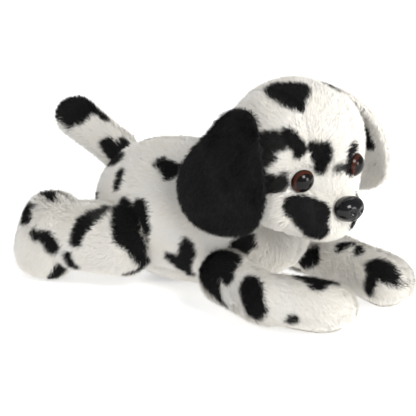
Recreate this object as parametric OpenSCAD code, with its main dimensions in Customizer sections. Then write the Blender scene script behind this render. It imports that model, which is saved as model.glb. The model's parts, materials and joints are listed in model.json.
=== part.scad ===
// Plush spotted puppy, lying flat on its belly with the forelegs stretched ahead, the hind feet
// turned up behind and the head resting low between the shoulders.
// +X is the nose, +Y is the dog's left, +Z is up. Z = 0 is the surface that it lies on, and the
// origin is under the middle of the whole toy. Millimetres.
//
// Every limb and the head end in a ball that sits in a ball-shaped hollow of the torso, so each
// can turn about the middle of its ball without opening a gap. Each stuffed form is a skin of
// sewn pile panels, a filling a little smaller inside it and a pouch of pellets in the filling.

/* [Torso] */
// Length of the torso from the rump to the chest
torso_len = 121; // [114:1:126]
// Widest radius of the torso
torso_r = 37; // [35:0.5:38]
// Middle of the torso ahead of the origin
torso_x = -10; // [-12:1:-8]
// Height of the torso's long axis over the surface
torso_z = 36; // [34:0.5:37]
// Rise of the torso's long axis toward the chest, in degrees
torso_rise = 2.5; // [0:0.5:4]

/* [Head] */
// Radius of the head ball
head_r = 36; // [34:0.5:37]
// Head centre ahead of the origin
head_x = 48; // [46:1:52]
// Head centre to the left of the origin
head_y = -3; // [-5:0.5:0]
// Head centre over the surface
head_z = 81; // [79:0.5:84]
// Turn of the head to the left, in degrees
head_yaw = -8; // [-10:1:0]
// Radius of the muzzle
muzzle_r = 17.5; // [16:0.5:18.5]
// Muzzle centre ahead of the head centre
muzzle_ahead = 20.5; // [19:0.5:22]
// Muzzle centre below the head centre
muzzle_drop = 25.5; // [24:0.5:27]
// Half width of the strip of pile between the two sides of the face
gusset_half = 13; // [10:0.5:14]

/* [Eyes and nose] */
// Diameter of an eye
eye_d = 12; // [10:0.5:13]
// Eye centre ahead of the head centre
eye_ahead = 23.4; // [22:0.2:25]
// Eye centre beside the middle of the face
eye_side = 18.4; // [17:0.2:20]
// Eye centre below the head centre
eye_drop = 6.4; // [5:0.2:8]
// Width of the nose
nose_w = 16; // [14:0.5:17]
// Height of the nose
nose_h = 12.5; // [11:0.5:13]
// Upward tilt of the nose, in degrees
nose_tilt = 15; // [10:1:20]

/* [Ears] */
// Radius of the ear's round lobe
ear_r = 29; // [27:0.5:30]
// Thickness of each of the ear's two layers
ear_t = 2.2; // [1.8:0.1:2.6]
// How far the left ear stands off the head, in degrees
ear_flare_left = 14; // [0:1:20]
// How far the right ear stands off the head, in degrees
ear_flare_right = 0; // [0:1:20]

/* [Forelegs] */
// Radius of the shoulder ball
shoulder_r = 15.5; // [14:0.5:16.5]
// Shoulder centre ahead of the origin
shoulder_x = 28; // [26:1:29]
// Shoulder centre beside the middle
shoulder_y = 30.5; // [29:0.5:32]
// Shoulder centre over the surface
shoulder_z = 19; // [18:0.5:20]
// Radius of the foreleg's thin part
foreleg_r = 13; // [12:0.5:13.5]
// Radius of the front paw
paw_r = 14.5; // [13.5:0.5:15]
// Length from the shoulder centre to the elbow
upper_len = 27.5; // [26:0.5:29]
// Length from the elbow to the tip of the paw
forearm_len = 49; // [47:0.5:51]
// How far the right elbow stands out from straight ahead, in degrees
elbow_out_right = 16; // [10:1:18]
// How far the right forearm then bends back in, in degrees
elbow_bend_right = 42; // [30:1:45]
// How far the left elbow stands out from straight ahead, in degrees
elbow_out_left = -6; // [-8:1:-4]
// How far the left forearm then bends back in, in degrees
elbow_bend_left = 3; // [1:1:5]

/* [Hind legs] */
// Radius of the hip ball
hip_r = 19.5; // [19:0.5:20]
// Hip centre behind the origin
hip_x = -37; // [-39:1:-35]
// Hip centre beside the middle
hip_y = 32.5; // [31:0.5:34]
// Hip centre over the surface
hip_z = 25; // [24:0.5:26]
// Radius of the hind leg's thin part
hindleg_r = 18.5; // [17.5:0.5:18.5]
// Length from the hip centre to the middle of the foot
hindleg_len = 44; // [42:0.5:46]
// How far the hind leg turns out from straight back, in degrees
hindleg_out = 17; // [14:1:20]
// How far the hind leg slopes down to the foot, in degrees
hindleg_down = 3; // [2:0.5:4]
// Radius of the upturned hind foot
foot_r = 17.5; // [16.5:0.5:18]
// Height of the upturned hind foot
foot_h = 46; // [44:1:48]
// How far the upturned foot leans back toward the body, in degrees
foot_lean = 14; // [8:1:16]
// From the middle of the hind foot to its flat sole
sole_back = 15.5; // [14.5:0.5:16]

/* [Tail] */
// Radius of the ball at the tail's root
tail_root_r = 11.5; // [10.5:0.5:12]
// Radius of the tail
tail_r = 11; // [10:0.5:11]
// Tail root behind the origin
tail_x = -62; // [-64:1:-60]
// Tail root over the surface
tail_z = 56; // [54:0.5:58]
// Length from the root centre to the tail's tip
tail_len = 46; // [43:0.5:48]
// How far the tail points up, in degrees
tail_up = 24; // [20:1:30]

/* [Build] */
// Thickness of a pile panel, backing and pile together
skin_t = 3; // [2.5:0.1:3.5]
// Gap between a skin and its filling
fill_gap = 0.25; // [0.2:0.05:0.4]
// Gap between a ball and the hollow that it turns in
ball_gap = 0.4; // [0.3:0.05:0.5]

/* [Hidden] */
$fn = 48;

RIGHT = -1;
LEFT = 1;
// Larger than the toy in every direction, for half spaces
FAR = 400;
// Degrees between the points of a round outline
STEP = 15;

cream = [0.93, 0.91, 0.87];
black = [0.09, 0.085, 0.08];
fill_white = [0.97, 0.97, 0.96];
pellet_grey = [0.75, 0.77, 0.8];
thread_white = [0.9, 0.88, 0.84];

// The neck lining is a bowl round the lower back of the head ball
neck_lean = 40;
neck_half = 40;
neck_inner = head_r + 0.3;
neck_outer = neck_inner + 1.7;
neck_seat = neck_outer + 0.3;
neck_thread_r = 0.8;
neck_thread_at = (neck_inner + neck_outer) / 2;
neck_thread_half = neck_half + 2.2;

// The front of the face is flatter than the ball: it lies on a larger ball set further back
face_r = 52;
face_back = 23.5;

// An eye and the nose stand in seats that leave this much of the panel under them
seat_web = 1.2;
eye_dome_h = 4.4;
shank_r = 2;
shank_len = 9;
eye_point = [eye_ahead + face_back, eye_side, -eye_drop];
eye_turn = atan2(eye_point.y, eye_point.x);
eye_pitch = atan2(eye_drop, norm([eye_point.x, eye_point.y]));
washer_r = 6;
washer_t = 1.6;
washer_bore = shank_r + 0.08;
nose_dome_h = 8;

// The ear hangs from a hinge line along the top of its root, just off the head ball
ear_inner = head_r + 0.8;
ear_hinge_z = 20.5;
ear_hinge_y = sqrt(pow(ear_inner, 2) - pow(ear_hinge_z, 2));
ear_mid = [-10.8, -9.2];
ear_root_x = -7.5;
ear_root_half = 9.5;

// Half spaces and slabs

module above(z) {
    translate([-FAR, -FAR, z]) cube(2 * FAR);
}

module beside(side, y = 0) {
    translate([-FAR, side > 0 ? y : -2 * FAR + y, -FAR]) cube(2 * FAR);
}

module ahead_of(x) {
    translate([x, -FAR, -FAR]) cube(2 * FAR);
}

module middle_strip(half) {
    translate([-FAR, -half, -FAR]) cube([2 * FAR, 2 * half, 2 * FAR]);
}

// Turns an outline of [radius, distance along the axis] points about the X axis
module spindle(points) {
    rotate([0, 90, 0]) rotate_extrude() polygon(points);
}

// A round rod along the X axis
module rod(from, to, r) {
    translate([from, 0, 0]) rotate([0, 90, 0]) cylinder(h = to - from, r = r);
}

// A blunt round outline about the axis: half length, radius, bluntness and how much it narrows
function pod(half, r, blunt, narrowing = 0) = [
    for (a = [0 : STEP : 180])
        [r * pow(max(sin(a), 0), blunt) * (1 - narrowing * cos(a)), half * cos(a)]
];

// Torso

module torso_form(inset) {
    intersection() {
        translate([torso_x, 0, torso_z])
            rotate([0, -torso_rise, 0])
                spindle(pod(torso_len / 2 - inset, torso_r - inset, 0.68, 0.1));
        above(inset);
    }
}

// Everything that the torso is hollowed out for, each with its gap
module torso_hollows() {
    translate([head_x, head_y, head_z]) sphere(neck_seat);
    for (side = [RIGHT, LEFT]) {
        shoulder(side) sphere(shoulder_r + ball_gap);
        along_upper(side) rod(0, FAR / 8, foreleg_r + ball_gap);
        hip(side) sphere(hip_r + ball_gap);
        down_hindleg(side) rod(0, FAR / 8, hindleg_r + ball_gap);
    }
    along_tail() {
        sphere(tail_root_r + ball_gap);
        rod(0, FAR / 8, tail_r + ball_gap);
    }
}

module torso_skin() {
    difference() {
        torso_form(0);
        torso_form(skin_t);
        torso_hollows();
    }
}

belly_seam_z = 15;

module back_panel(side) {
    color(cream) intersection() {
        torso_skin();
        beside(side);
        above(belly_seam_z);
    }
}

module belly_panel() {
    color(cream) difference() {
        torso_skin();
        above(belly_seam_z);
    }
}

belly_pouch_at = [-20, 0, 15];
belly_pouch_r = 9.5;

module torso_filling() {
    color(fill_white) difference() {
        torso_form(skin_t + fill_gap);
        torso_hollows();
        translate(belly_pouch_at) sphere(belly_pouch_r + fill_gap);
    }
}

module belly_pellet_pouch() {
    color(pellet_grey) translate(belly_pouch_at) sphere(belly_pouch_r);
}

// Neck: a bowl of cloth that the head is sewn round, and the thread that closes it

module neck_place() {
    translate([head_x, head_y, head_z]) rotate([0, neck_lean, 0]) children();
}

module neck_lining() {
    reach = 60;
    color(cream) neck_place() rotate_extrude() intersection() {
        difference() {
            circle(neck_outer);
            circle(neck_inner);
        }
        polygon([[0, 0], [0, -reach], [reach * tan(neck_half), -reach]]);
    }
}

module neck_thread() {
    at = [neck_thread_at * sin(neck_thread_half), -neck_thread_at * cos(neck_thread_half)];
    color(thread_white) neck_place() rotate_extrude() translate(at) circle(neck_thread_r);
}

// Head

module head_place() {
    translate([head_x, head_y, head_z]) rotate([0, 0, head_yaw]) children();
}

module head_form(inset) {
    rotate([0, 0, 180]) intersection() {
        sphere(head_r - inset);
        translate([face_back, 0, 0]) sphere(face_r - inset);
    }
    translate([muzzle_ahead, 0, -muzzle_drop]) rotate([0, 0, 180]) sphere(muzzle_r - inset);
}

// An eye's own frame: its X axis leaves the face, and X = 0 is where the eye rests on its seat
module eye_place(side) {
    translate([-face_back, 0, 0])
        rotate([0, eye_pitch, side * eye_turn])
            translate([face_r - skin_t + seat_web, 0, 0])
                children();
}

module nose_place() {
    translate([muzzle_ahead, 0, -muzzle_drop])
        rotate([0, -nose_tilt, 0])
            translate([muzzle_r - skin_t + seat_web, 0, 0])
                children();
}

module nose_outline(grow) {
    r = nose_h / 2 + grow;
    out = (nose_w - nose_h) / 2;
    for (side = [RIGHT, LEFT]) translate([0, side * out]) circle(r);
    square([2 * r, 2 * out], center = true);
}

module face_seats() {
    fit = 0.3;
    for (side = [RIGHT, LEFT]) eye_place(side) {
        rod(0, FAR / 10, eye_d / 2 + fit);
        rod(-skin_t, FAR / 10, shank_r + fit);
    }
    nose_place() {
        rotate([0, 90, 0]) linear_extrude(FAR / 10) nose_outline(fit);
        rod(-skin_t, FAR / 10, shank_r + fit);
    }
}

module head_skin() {
    difference() {
        head_form(0);
        head_form(skin_t);
        face_seats();
    }
}

// The gusset runs from the nose over the crown to the nape, the chin panel under the jaw
module over_the_top() {
    rotate([0, 28, 0]) above(-10);
}

module crown_gusset() {
    color(cream) head_place() intersection() {
        head_skin();
        middle_strip(gusset_half);
        over_the_top();
    }
}

module chin_panel() {
    color(cream) head_place() difference() {
        intersection() {
            head_skin();
            middle_strip(gusset_half);
        }
        over_the_top();
    }
}

module face_panel(side) {
    color(cream) head_place() intersection() {
        head_skin();
        beside(side, side * gusset_half);
    }
}

// A flat washer clears the curved inside of the panel, whose radius is inner, by a small gap
function washer_from(inner) =
    sqrt(pow(inner, 2) - pow(washer_r, 2)) - inner - seat_web - fill_gap - washer_t;
eye_washer_from = washer_from(face_r - skin_t);
nose_washer_from = washer_from(muzzle_r - skin_t);

module washer_hollow(from) {
    rod(from - fill_gap, 0, washer_r + fill_gap);
    rod(-shank_len - fill_gap, 0, shank_r + fill_gap);
}

module head_filling() {
    color(fill_white) head_place() difference() {
        head_form(skin_t + fill_gap);
        for (side = [RIGHT, LEFT]) eye_place(side) washer_hollow(eye_washer_from);
        nose_place() washer_hollow(nose_washer_from);
    }
}

// An eye is a clear cap over a black pupil, made in one piece with its shank
module eye(side) {
    dome_r = (pow(eye_d / 2, 2) + pow(eye_dome_h, 2)) / (2 * eye_dome_h);
    color([0.35, 0.2, 0.1]) head_place() eye_place(side) rotate([0, 90, 0]) rotate_extrude() {
        intersection() {
            translate([0, eye_dome_h - dome_r]) circle(dome_r);
            square([eye_d, eye_d]);
        }
        translate([0, -shank_len]) square([shank_r, shank_len + 0.1]);
    }
}

module washer_ring(from) {
    color(fill_white) difference() {
        rod(from, from + washer_t, washer_r);
        rod(from - 1, from + washer_t + 1, washer_bore);
    }
}

module nose() {
    dome_r = 9;
    color(black) head_place() nose_place() {
        intersection() {
            translate([nose_dome_h - dome_r, 0, 0]) sphere(dome_r);
            rotate([0, 90, 0]) linear_extrude(nose_dome_h + 1) nose_outline(0);
        }
        rod(-shank_len, 0.1, shank_r);
    }
}

// Ears

// The ear seen from its own side: a round lobe under a narrower root
module ear_outline() {
    polygon(concat(
        [[ear_root_x - ear_root_half, ear_hinge_z], [ear_root_x + ear_root_half, ear_hinge_z]],
        [for (a = [10 : -8 : -190]) ear_mid + ear_r * [cos(a), sin(a)]]
    ));
}

// The ear seen from the front: it follows the head ball down to its widest and then hangs
module ear_section(from) {
    function bow(r, turn) = [for (a = turn) [r * cos(a), r * sin(a)]];
    polygon(concat(
        [[from, -FAR / 4]], bow(from, [0 : 6 : 60]),
        bow(from + ear_t, [60 : -6 : 0]), [[from + ear_t, -FAR / 4]]
    ));
}

module ear_layer(side, from) {
    flare = side > 0 ? ear_flare_left : ear_flare_right;
    head_place()
        translate([0, side * ear_hinge_y, ear_hinge_z])
            rotate([side * flare, 0, 0])
                translate([0, -side * ear_hinge_y, -ear_hinge_z])
                    mirror([0, side < 0 ? 1 : 0, 0])
                        intersection() {
                            rotate([90, 0, 90])
                                linear_extrude(2 * FAR, center = true) ear_section(from);
                            rotate([90, 0, 0])
                                linear_extrude(2 * FAR, center = true) ear_outline();
                        }
}

module ear_lining(side) {
    color(side > 0 ? cream : black) ear_layer(side, ear_inner);
}

module ear_outer(side) {
    color(side > 0 ? cream : black) ear_layer(side, ear_inner + ear_t);
}

// Forelegs

module shoulder(side) {
    translate([shoulder_x, side * shoulder_y, shoulder_z]) children();
}

paw_pouch_r = 7.5;
paw_pouch_along = 28;
elbow_z = 16;
paw_z = 13.8;

function elbow_out(side) = side < 0 ? elbow_out_right : elbow_out_left;
function elbow_bend(side) = side < 0 ? elbow_bend_right : elbow_bend_left;

// The upper leg and the forearm slope down until the paw is pressed flat on the surface
upper_down = asin((shoulder_z - elbow_z) / upper_len);
forearm_down = asin((elbow_z - paw_z) / paw_pouch_along) - upper_down;

module along_upper(side) {
    shoulder(side) rotate([0, upper_down, side * elbow_out(side)]) children();
}

module at_elbow(side) {
    along_upper(side) translate([upper_len, 0, 0]) children();
}

module along_forearm(side) {
    at_elbow(side) rotate([0, forearm_down, -side * elbow_bend(side)]) children();
}

// The shoulder ball and the upper leg
function upper_points(inset) = let (root = shoulder_r - inset) concat(
    [for (a = [180 : -STEP : 60]) [root * max(sin(a), 0), root * cos(a)]],
    [[foreleg_r - inset, 9], [foreleg_r - inset, upper_len], [0, upper_len]]
);

// The forearm widens to a long round paw
function forearm_points(inset) = let (
    thin = foreleg_r - inset,
    paw_half = 21.5,
    paw_mid = forearm_len - paw_half
) concat(
    [[0, 0], [thin, 0], [thin, 6]],
    [
        for (a = [120 : -STEP : 0])
            [(paw_r - inset) * pow(sin(a), 0.85), paw_mid + (paw_half - inset) * cos(a)]
    ]
);

module foreleg_form(side, inset) {
    intersection() {
        union() {
            along_upper(side) spindle(upper_points(inset));
            at_elbow(side) sphere(foreleg_r + 0.5 - inset);
            along_forearm(side) spindle(forearm_points(inset));
        }
        above(inset);
    }
}

module foreleg_skin(side) {
    difference() {
        foreleg_form(side, 0);
        foreleg_form(side, skin_t);
    }
}

// The seam between the outer and the inner panel runs from the shoulder over the paw
module foreleg_halves(side) {
    bent_part = forearm_len / (upper_len + forearm_len);
    seam_out = elbow_out(side) - elbow_bend(side) * bent_part;
    shoulder(side) rotate([0, 0, side * seam_out]) children();
}

// The sole is the flat underside of the paw
module foreleg_sole_space() {
    difference() {
        ahead_of(shoulder_x + 34);
        above(skin_t);
    }
}

module foreleg_panel(side, half) {
    color(cream) difference() {
        intersection() {
            foreleg_skin(side);
            foreleg_halves(side) beside(half);
        }
        foreleg_sole_space();
    }
}

module foreleg_sole(side) {
    color(cream) intersection() {
        foreleg_skin(side);
        foreleg_sole_space();
    }
}

module foreleg_filling(side) {
    color(fill_white) difference() {
        foreleg_form(side, skin_t + fill_gap);
        along_forearm(side)
            translate([paw_pouch_along, 0, 0]) sphere(paw_pouch_r + fill_gap);
    }
}

module foreleg_pellet_pouch(side) {
    color(pellet_grey) along_forearm(side)
        translate([paw_pouch_along, 0, 0]) sphere(paw_pouch_r);
}

// Hind legs

module hip(side) {
    translate([hip_x, side * hip_y, hip_z]) children();
}

// The hind leg's level frame: +X runs from the hip to the foot
module along_hindleg(side) {
    hip(side) rotate([0, 0, 180 - side * hindleg_out]) children();
}

module down_hindleg(side) {
    along_hindleg(side) rotate([0, hindleg_down, 0]) children();
}

// The foot's frame: its heel is on the surface, +Z runs to its toes and +X leaves its sole
module foot_place(side) {
    along_hindleg(side)
        translate([hindleg_len, 0, -hip_z])
            rotate([0, -foot_lean, 0])
                children();
}

function hindleg_points(inset) = let (
    root = hip_r - inset,
    thick = hindleg_r - inset
) concat(
    [for (a = [180 : -STEP : 75]) [root * max(sin(a), 0), root * cos(a)]],
    [[thick, 6.5], [thick, 24], [thick - 2, hindleg_len - 8], [0, hindleg_len - 6]]
);

// The foot stands on its heel with its toes up and its sole to the back
module hindleg_form(side, inset) {
    intersection() {
        union() {
            down_hindleg(side) spindle(hindleg_points(inset));
            foot_place(side)
                translate([0, 0, foot_h / 2])
                    rotate([0, -90, 0])
                        spindle(pod(foot_h / 2 + 1 - inset, foot_r - inset, 0.6));
        }
        above(inset);
        foot_place(side)
            translate([-FAR + sole_back - inset, 0, 0])
                cube([2 * FAR, 2 * FAR, 2 * FAR], center = true);
    }
}

module hindleg_skin(side) {
    difference() {
        hindleg_form(side, 0);
        hindleg_form(side, skin_t);
    }
}

module hindleg_sole_space(side) {
    foot_place(side) ahead_of(sole_back - skin_t);
}

module hindleg_panel(side, half) {
    color(cream) difference() {
        intersection() {
            hindleg_skin(side);
            along_hindleg(side) beside(half);
        }
        hindleg_sole_space(side);
    }
}

module hindleg_sole(side) {
    color(cream) intersection() {
        hindleg_skin(side);
        hindleg_sole_space(side);
    }
}

foot_pouch_r = 9.5;
foot_pouch_up = 15;

module foot_pouch_place(side) {
    foot_place(side) translate([0, 0, foot_pouch_up]) children();
}

module hindleg_filling(side) {
    color(fill_white) difference() {
        hindleg_form(side, skin_t + fill_gap);
        foot_pouch_place(side) sphere(foot_pouch_r + fill_gap);
    }
}

module hindleg_pellet_pouch(side) {
    color(pellet_grey) foot_pouch_place(side) sphere(foot_pouch_r);
}

// Tail

module along_tail() {
    translate([tail_x, 0, tail_z]) rotate([0, tail_up - 180, 0]) children();
}

function tail_points(inset) = let (
    root = tail_root_r - inset,
    thick = tail_r - inset,
    tip_half = 16
) concat(
    [for (a = [180 : -STEP : 60]) [root * max(sin(a), 0), root * cos(a)]],
    [[thick - 0.7, 14], [thick, 22]],
    [for (a = [90 : -STEP : 0]) [thick * sin(a), tail_len - tip_half + (tip_half - inset) * cos(a)]]
);

module tail_form(inset) {
    along_tail() spindle(tail_points(inset));
}

module tail_panel(side) {
    color(cream) intersection() {
        difference() {
            tail_form(0);
            tail_form(skin_t);
        }
        beside(side);
    }
}

module tail_filling() {
    color(fill_white) tail_form(skin_t + fill_gap);
}

back_panel(RIGHT);  // back_panel_right
back_panel(LEFT);  // back_panel_left
belly_panel();
torso_filling();
belly_pellet_pouch();
neck_lining();
neck_thread();
crown_gusset();
face_panel(RIGHT);  // face_panel_right
face_panel(LEFT);  // face_panel_left
chin_panel();
head_filling();
eye(RIGHT);  // eye_right
eye(LEFT);  // eye_left
head_place() eye_place(RIGHT) washer_ring(eye_washer_from);  // eye_washer_right
head_place() eye_place(LEFT) washer_ring(eye_washer_from);  // eye_washer_left
nose();
head_place() nose_place() washer_ring(nose_washer_from);  // nose_washer
ear_outer(RIGHT);  // ear_right_outer
ear_lining(RIGHT);  // ear_right_lining
ear_outer(LEFT);  // ear_left_outer
ear_lining(LEFT);  // ear_left_lining
foreleg_panel(RIGHT, RIGHT);  // foreleg_right_outer_panel
foreleg_panel(RIGHT, LEFT);  // foreleg_right_inner_panel
foreleg_sole(RIGHT);  // foreleg_right_sole
foreleg_filling(RIGHT);  // foreleg_right_filling
foreleg_pellet_pouch(RIGHT);  // foreleg_right_pellet_pouch
foreleg_panel(LEFT, LEFT);  // foreleg_left_outer_panel
foreleg_panel(LEFT, RIGHT);  // foreleg_left_inner_panel
foreleg_sole(LEFT);  // foreleg_left_sole
foreleg_filling(LEFT);  // foreleg_left_filling
foreleg_pellet_pouch(LEFT);  // foreleg_left_pellet_pouch
hindleg_panel(RIGHT, LEFT);  // hindleg_right_outer_panel
hindleg_panel(RIGHT, RIGHT);  // hindleg_right_inner_panel
hindleg_sole(RIGHT);  // hindleg_right_sole
hindleg_filling(RIGHT);  // hindleg_right_filling
hindleg_pellet_pouch(RIGHT);  // hindleg_right_pellet_pouch
hindleg_panel(LEFT, RIGHT);  // hindleg_left_outer_panel
hindleg_panel(LEFT, LEFT);  // hindleg_left_inner_panel
hindleg_sole(LEFT);  // hindleg_left_sole
hindleg_filling(LEFT);  // hindleg_left_filling
hindleg_pellet_pouch(LEFT);  // hindleg_left_pellet_pouch
tail_panel(RIGHT);  // tail_panel_right
tail_panel(LEFT);  // tail_panel_left
tail_filling();
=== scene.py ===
"""The looks of a small spotted plush puppy on its belly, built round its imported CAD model.

Shapes are worked out in millimetres in the CAD frame (+X to the nose, +Y to the dog's left, +Z up)
and turn into metres when a mesh is made. Every stuffed part is a closed form that is remeshed,
sculpted, puffed out between its seams and cut into the panels that the toy is sewn from. Each panel
then grows its own pile of short strands.
"""

import itertools
import json
import logging
import math
from dataclasses import dataclass, field
from enum import Enum
from typing import Callable, Optional, Sequence, Union

import bmesh
import bpy
import numpy as np
from mathutils import Euler, Matrix, Vector


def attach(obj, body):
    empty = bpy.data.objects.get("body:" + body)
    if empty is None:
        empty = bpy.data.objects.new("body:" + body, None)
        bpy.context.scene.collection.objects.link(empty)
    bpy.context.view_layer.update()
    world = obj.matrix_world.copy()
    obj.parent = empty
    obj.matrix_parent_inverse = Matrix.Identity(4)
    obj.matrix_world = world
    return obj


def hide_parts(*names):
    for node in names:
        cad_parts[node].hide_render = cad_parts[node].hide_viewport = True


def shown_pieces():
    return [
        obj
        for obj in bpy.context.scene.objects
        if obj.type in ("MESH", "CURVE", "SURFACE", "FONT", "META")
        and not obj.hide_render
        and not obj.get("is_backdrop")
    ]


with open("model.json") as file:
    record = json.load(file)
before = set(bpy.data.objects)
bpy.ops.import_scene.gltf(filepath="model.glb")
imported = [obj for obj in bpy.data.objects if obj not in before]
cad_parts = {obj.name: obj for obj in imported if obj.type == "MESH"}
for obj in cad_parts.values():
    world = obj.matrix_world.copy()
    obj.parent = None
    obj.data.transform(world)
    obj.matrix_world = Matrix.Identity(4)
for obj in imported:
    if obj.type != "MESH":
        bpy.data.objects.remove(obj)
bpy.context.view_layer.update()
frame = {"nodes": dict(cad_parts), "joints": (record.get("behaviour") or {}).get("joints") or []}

MM = 0.001
SEED = 20
PUFF_FRAMES = 14
PRESS_ROUNDS, PRESS_STEP = 70, 0.6
FAR = 99.0
"""Further from a seam, in millimetres, than any seam reaches."""
MAP_STEP = 1 / 1024
NECK_WAY = (-0.643, 0.0, -0.766)
"""From the head ball's middle to the neck."""
LOG = logging.getLogger("puppy")

Point = tuple[float, float, float]
Array = np.ndarray
Number = Union[float, "Wire"]
Colour = tuple[float, float, float, float]


class Side(Enum):
    """A side of the dog."""

    RIGHT = -1
    LEFT = 1

    @property
    def word(self) -> str:
        """The side as the CAD names spell it."""
        return self.name.lower()


def pivot(joint: str) -> Vector:
    """The point in millimetres that a CAD joint turns about."""
    found = next(j for j in frame["joints"] if j["name"] == joint)
    return Vector(found["pos_m"]) / MM


def unit(rows: Array) -> Array:
    """Each row of an array of vectors at length one."""
    return rows / np.maximum(np.linalg.norm(rows, axis=1, keepdims=True), 1e-9)


def ramp(values: Array, low: float, high: float) -> Array:
    """Values from low to high eased onto 0 to 1."""
    t = np.clip((values - low) / (high - low), 0, 1)
    return t * t * (3 - 2 * t)


class Grain:
    """Smooth noise in space that is the same in every run."""

    def __init__(self, seed: int) -> None:
        """Draws the table of random numbers.

        Args:
            seed: the number that the table is drawn from.
        """
        self.table = np.random.default_rng(seed).uniform(-1, 1, 4096)

    def at(self, points: Array, size: float) -> Array:
        """The noise at some points.

        Args:
            points: one point in millimetres in each row.
            size: the distance over which the noise changes, in millimetres.

        Returns:
            One value from -1 to 1 for each point.
        """
        cell = points / size
        low = np.floor(cell).astype(np.int64)
        part = cell - low
        part = part * part * (3 - 2 * part)
        total = np.zeros(len(points))
        for corner in itertools.product((0, 1), repeat=3):
            x, y, z = (low + corner).T
            key = (x * 73856093 ^ y * 19349663 ^ z * 83492791) & 4095
            weight = np.where(corner, part, 1 - part).prod(axis=1)
            total += self.table[key] * weight
        return total


GRAIN = Grain(SEED)


# Materials


class Wire:
    """A shader socket that sums are written with."""

    def __init__(self, graph: "Graph", socket: bpy.types.NodeSocket) -> None:
        """Wraps a socket.

        Args:
            graph: the material's nodes.
            socket: an output socket of one of them.
        """
        self.graph, self.socket = graph, socket

    def sum(self, operation: str, a: Number, b: Number = 0.0) -> "Wire":
        """One Math node on two values."""
        return self.graph.node("ShaderNodeMath", {"operation": operation}, {0: a, 1: b})

    def __add__(self, other: Number) -> "Wire":
        """This value plus another."""
        return self.sum("ADD", self, other)

    __radd__ = __add__

    def __mul__(self, other: Number) -> "Wire":
        """This value times another."""
        return self.sum("MULTIPLY", self, other)

    __rmul__ = __mul__

    def __sub__(self, other: Number) -> "Wire":
        """This value less another."""
        return self.sum("SUBTRACT", self, other)

    def __rsub__(self, other: Number) -> "Wire":
        """Another value less this one."""
        return self.sum("SUBTRACT", other, self)


class Graph:
    """The nodes of one material."""

    def __init__(self, name: str) -> None:
        """Makes a material with one shader.

        Args:
            name: the material's name.
        """
        self.material = bpy.data.materials.new(name)
        self.material.use_nodes = True
        self.tree = self.material.node_tree
        self.shader = self.tree.nodes["Principled BSDF"]

    def node(
        self,
        kind: str,
        settings: Optional[dict] = None,
        values: Optional[dict] = None,
        out: Union[int, str] = 0,
    ) -> Wire:
        """Any node but the shader.

        Args:
            kind: the node's type.
            settings: its properties, and "stops" for the colours of a ramp.
            values: a value or a wire for each of its input sockets.
            out: the output that is wanted.

        Returns:
            That output.
        """
        made = self.tree.nodes.new(kind)
        for key, value in (settings or {}).items():
            if key == "stops":
                self.fill_ramp(made.color_ramp, value)
            else:
                setattr(made, key, value)
        for key, value in (values or {}).items():
            self.feed(made.inputs[key], value)
        return Wire(self, made.outputs[out])

    @staticmethod
    def fill_ramp(ramp_data: bpy.types.ColorRamp, stops: Sequence[tuple]) -> None:
        """Sets a ramp's stops.

        Args:
            ramp_data: the ramp.
            stops: pairs of a place and a colour.
        """
        while len(ramp_data.elements) < len(stops):
            ramp_data.elements.new(1.0)
        for element, (place, colour) in zip(ramp_data.elements, stops):
            element.position, element.color = place, colour

    def feed(self, socket: bpy.types.NodeSocket, value: Union[Wire, float, tuple]) -> None:
        """Links a wire to a socket, or sets the socket's own value."""
        if isinstance(value, Wire):
            self.tree.links.new(value.socket, socket)
        else:
            socket.default_value = value

    def attribute(self, name: str) -> Wire:
        """A number that the mesh carries."""
        return self.node("ShaderNodeAttribute", {"attribute_name": name}, out="Fac")

    def place(self) -> Wire:
        """The point on the piece, in metres in the CAD frame."""
        return self.node("ShaderNodeTexCoord", out="Object")

    def mix(self, share: Number, a: Union[Wire, Colour], b: Union[Wire, Colour]) -> Wire:
        """A colour between two others."""
        return self.node(
            "ShaderNodeMix",
            {"data_type": "RGBA"},
            {"Factor": share, 6: a, 7: b},
            out=2,
        )

    def bump(self, height: Wire, depth_mm: float, strength: float) -> None:
        """Raises the surface by a height.

        Args:
            height: the height, from 0 to 1.
            depth_mm: what a height of 1 stands for.
            strength: how strongly it shows.
        """
        made = self.node(
            "ShaderNodeBump",
            values={"Height": height, "Distance": depth_mm * MM, "Strength": strength},
        )
        self.feed(self.shader.inputs["Normal"], made)

    def constants(self, **values: float) -> None:
        """Sets the shader's own sockets, named with underlines for spaces."""
        for key, value in values.items():
            self.shader.inputs[key.replace("_", " ")].default_value = value


@dataclass(frozen=True)
class PileFinish:
    """Soft polyester pile, cream where it carries no ink and black where it does, with painted
    glints of grey in the black.
    """

    name: str
    cream: Colour = (0.88, 0.872, 0.85, 1)
    warm: Colour = (0.88, 0.85, 0.79, 1)
    black: Colour = (0.004, 0.004, 0.0043, 1)
    # painted glints: a lighter grey that the random tone mixes into the black
    grey: Colour = (0.017, 0.0165, 0.017, 1)
    sheen: float = 0.02
    roughness: float = 0.6
    gloss: float = 0.06

    def build(self) -> bpy.types.Material:
        """Makes the material."""
        g = Graph(self.name)
        tone = g.attribute("tone")
        light = g.mix(tone, self.cream, self.warm)
        # Painted glints: the random tone mixes the black towards grey, for the sparkle of light on
        # the strands.
        dark = g.mix(tone, self.black, self.grey)
        g.feed(g.shader.inputs["Base Color"], g.mix(g.attribute("ink"), light, dark))
        g.constants(
            Roughness=self.roughness,
            Specular_IOR_Level=self.gloss,
            Sheen_Weight=self.sheen,
            Sheen_Roughness=0.35,
        )
        return g.material


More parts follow.
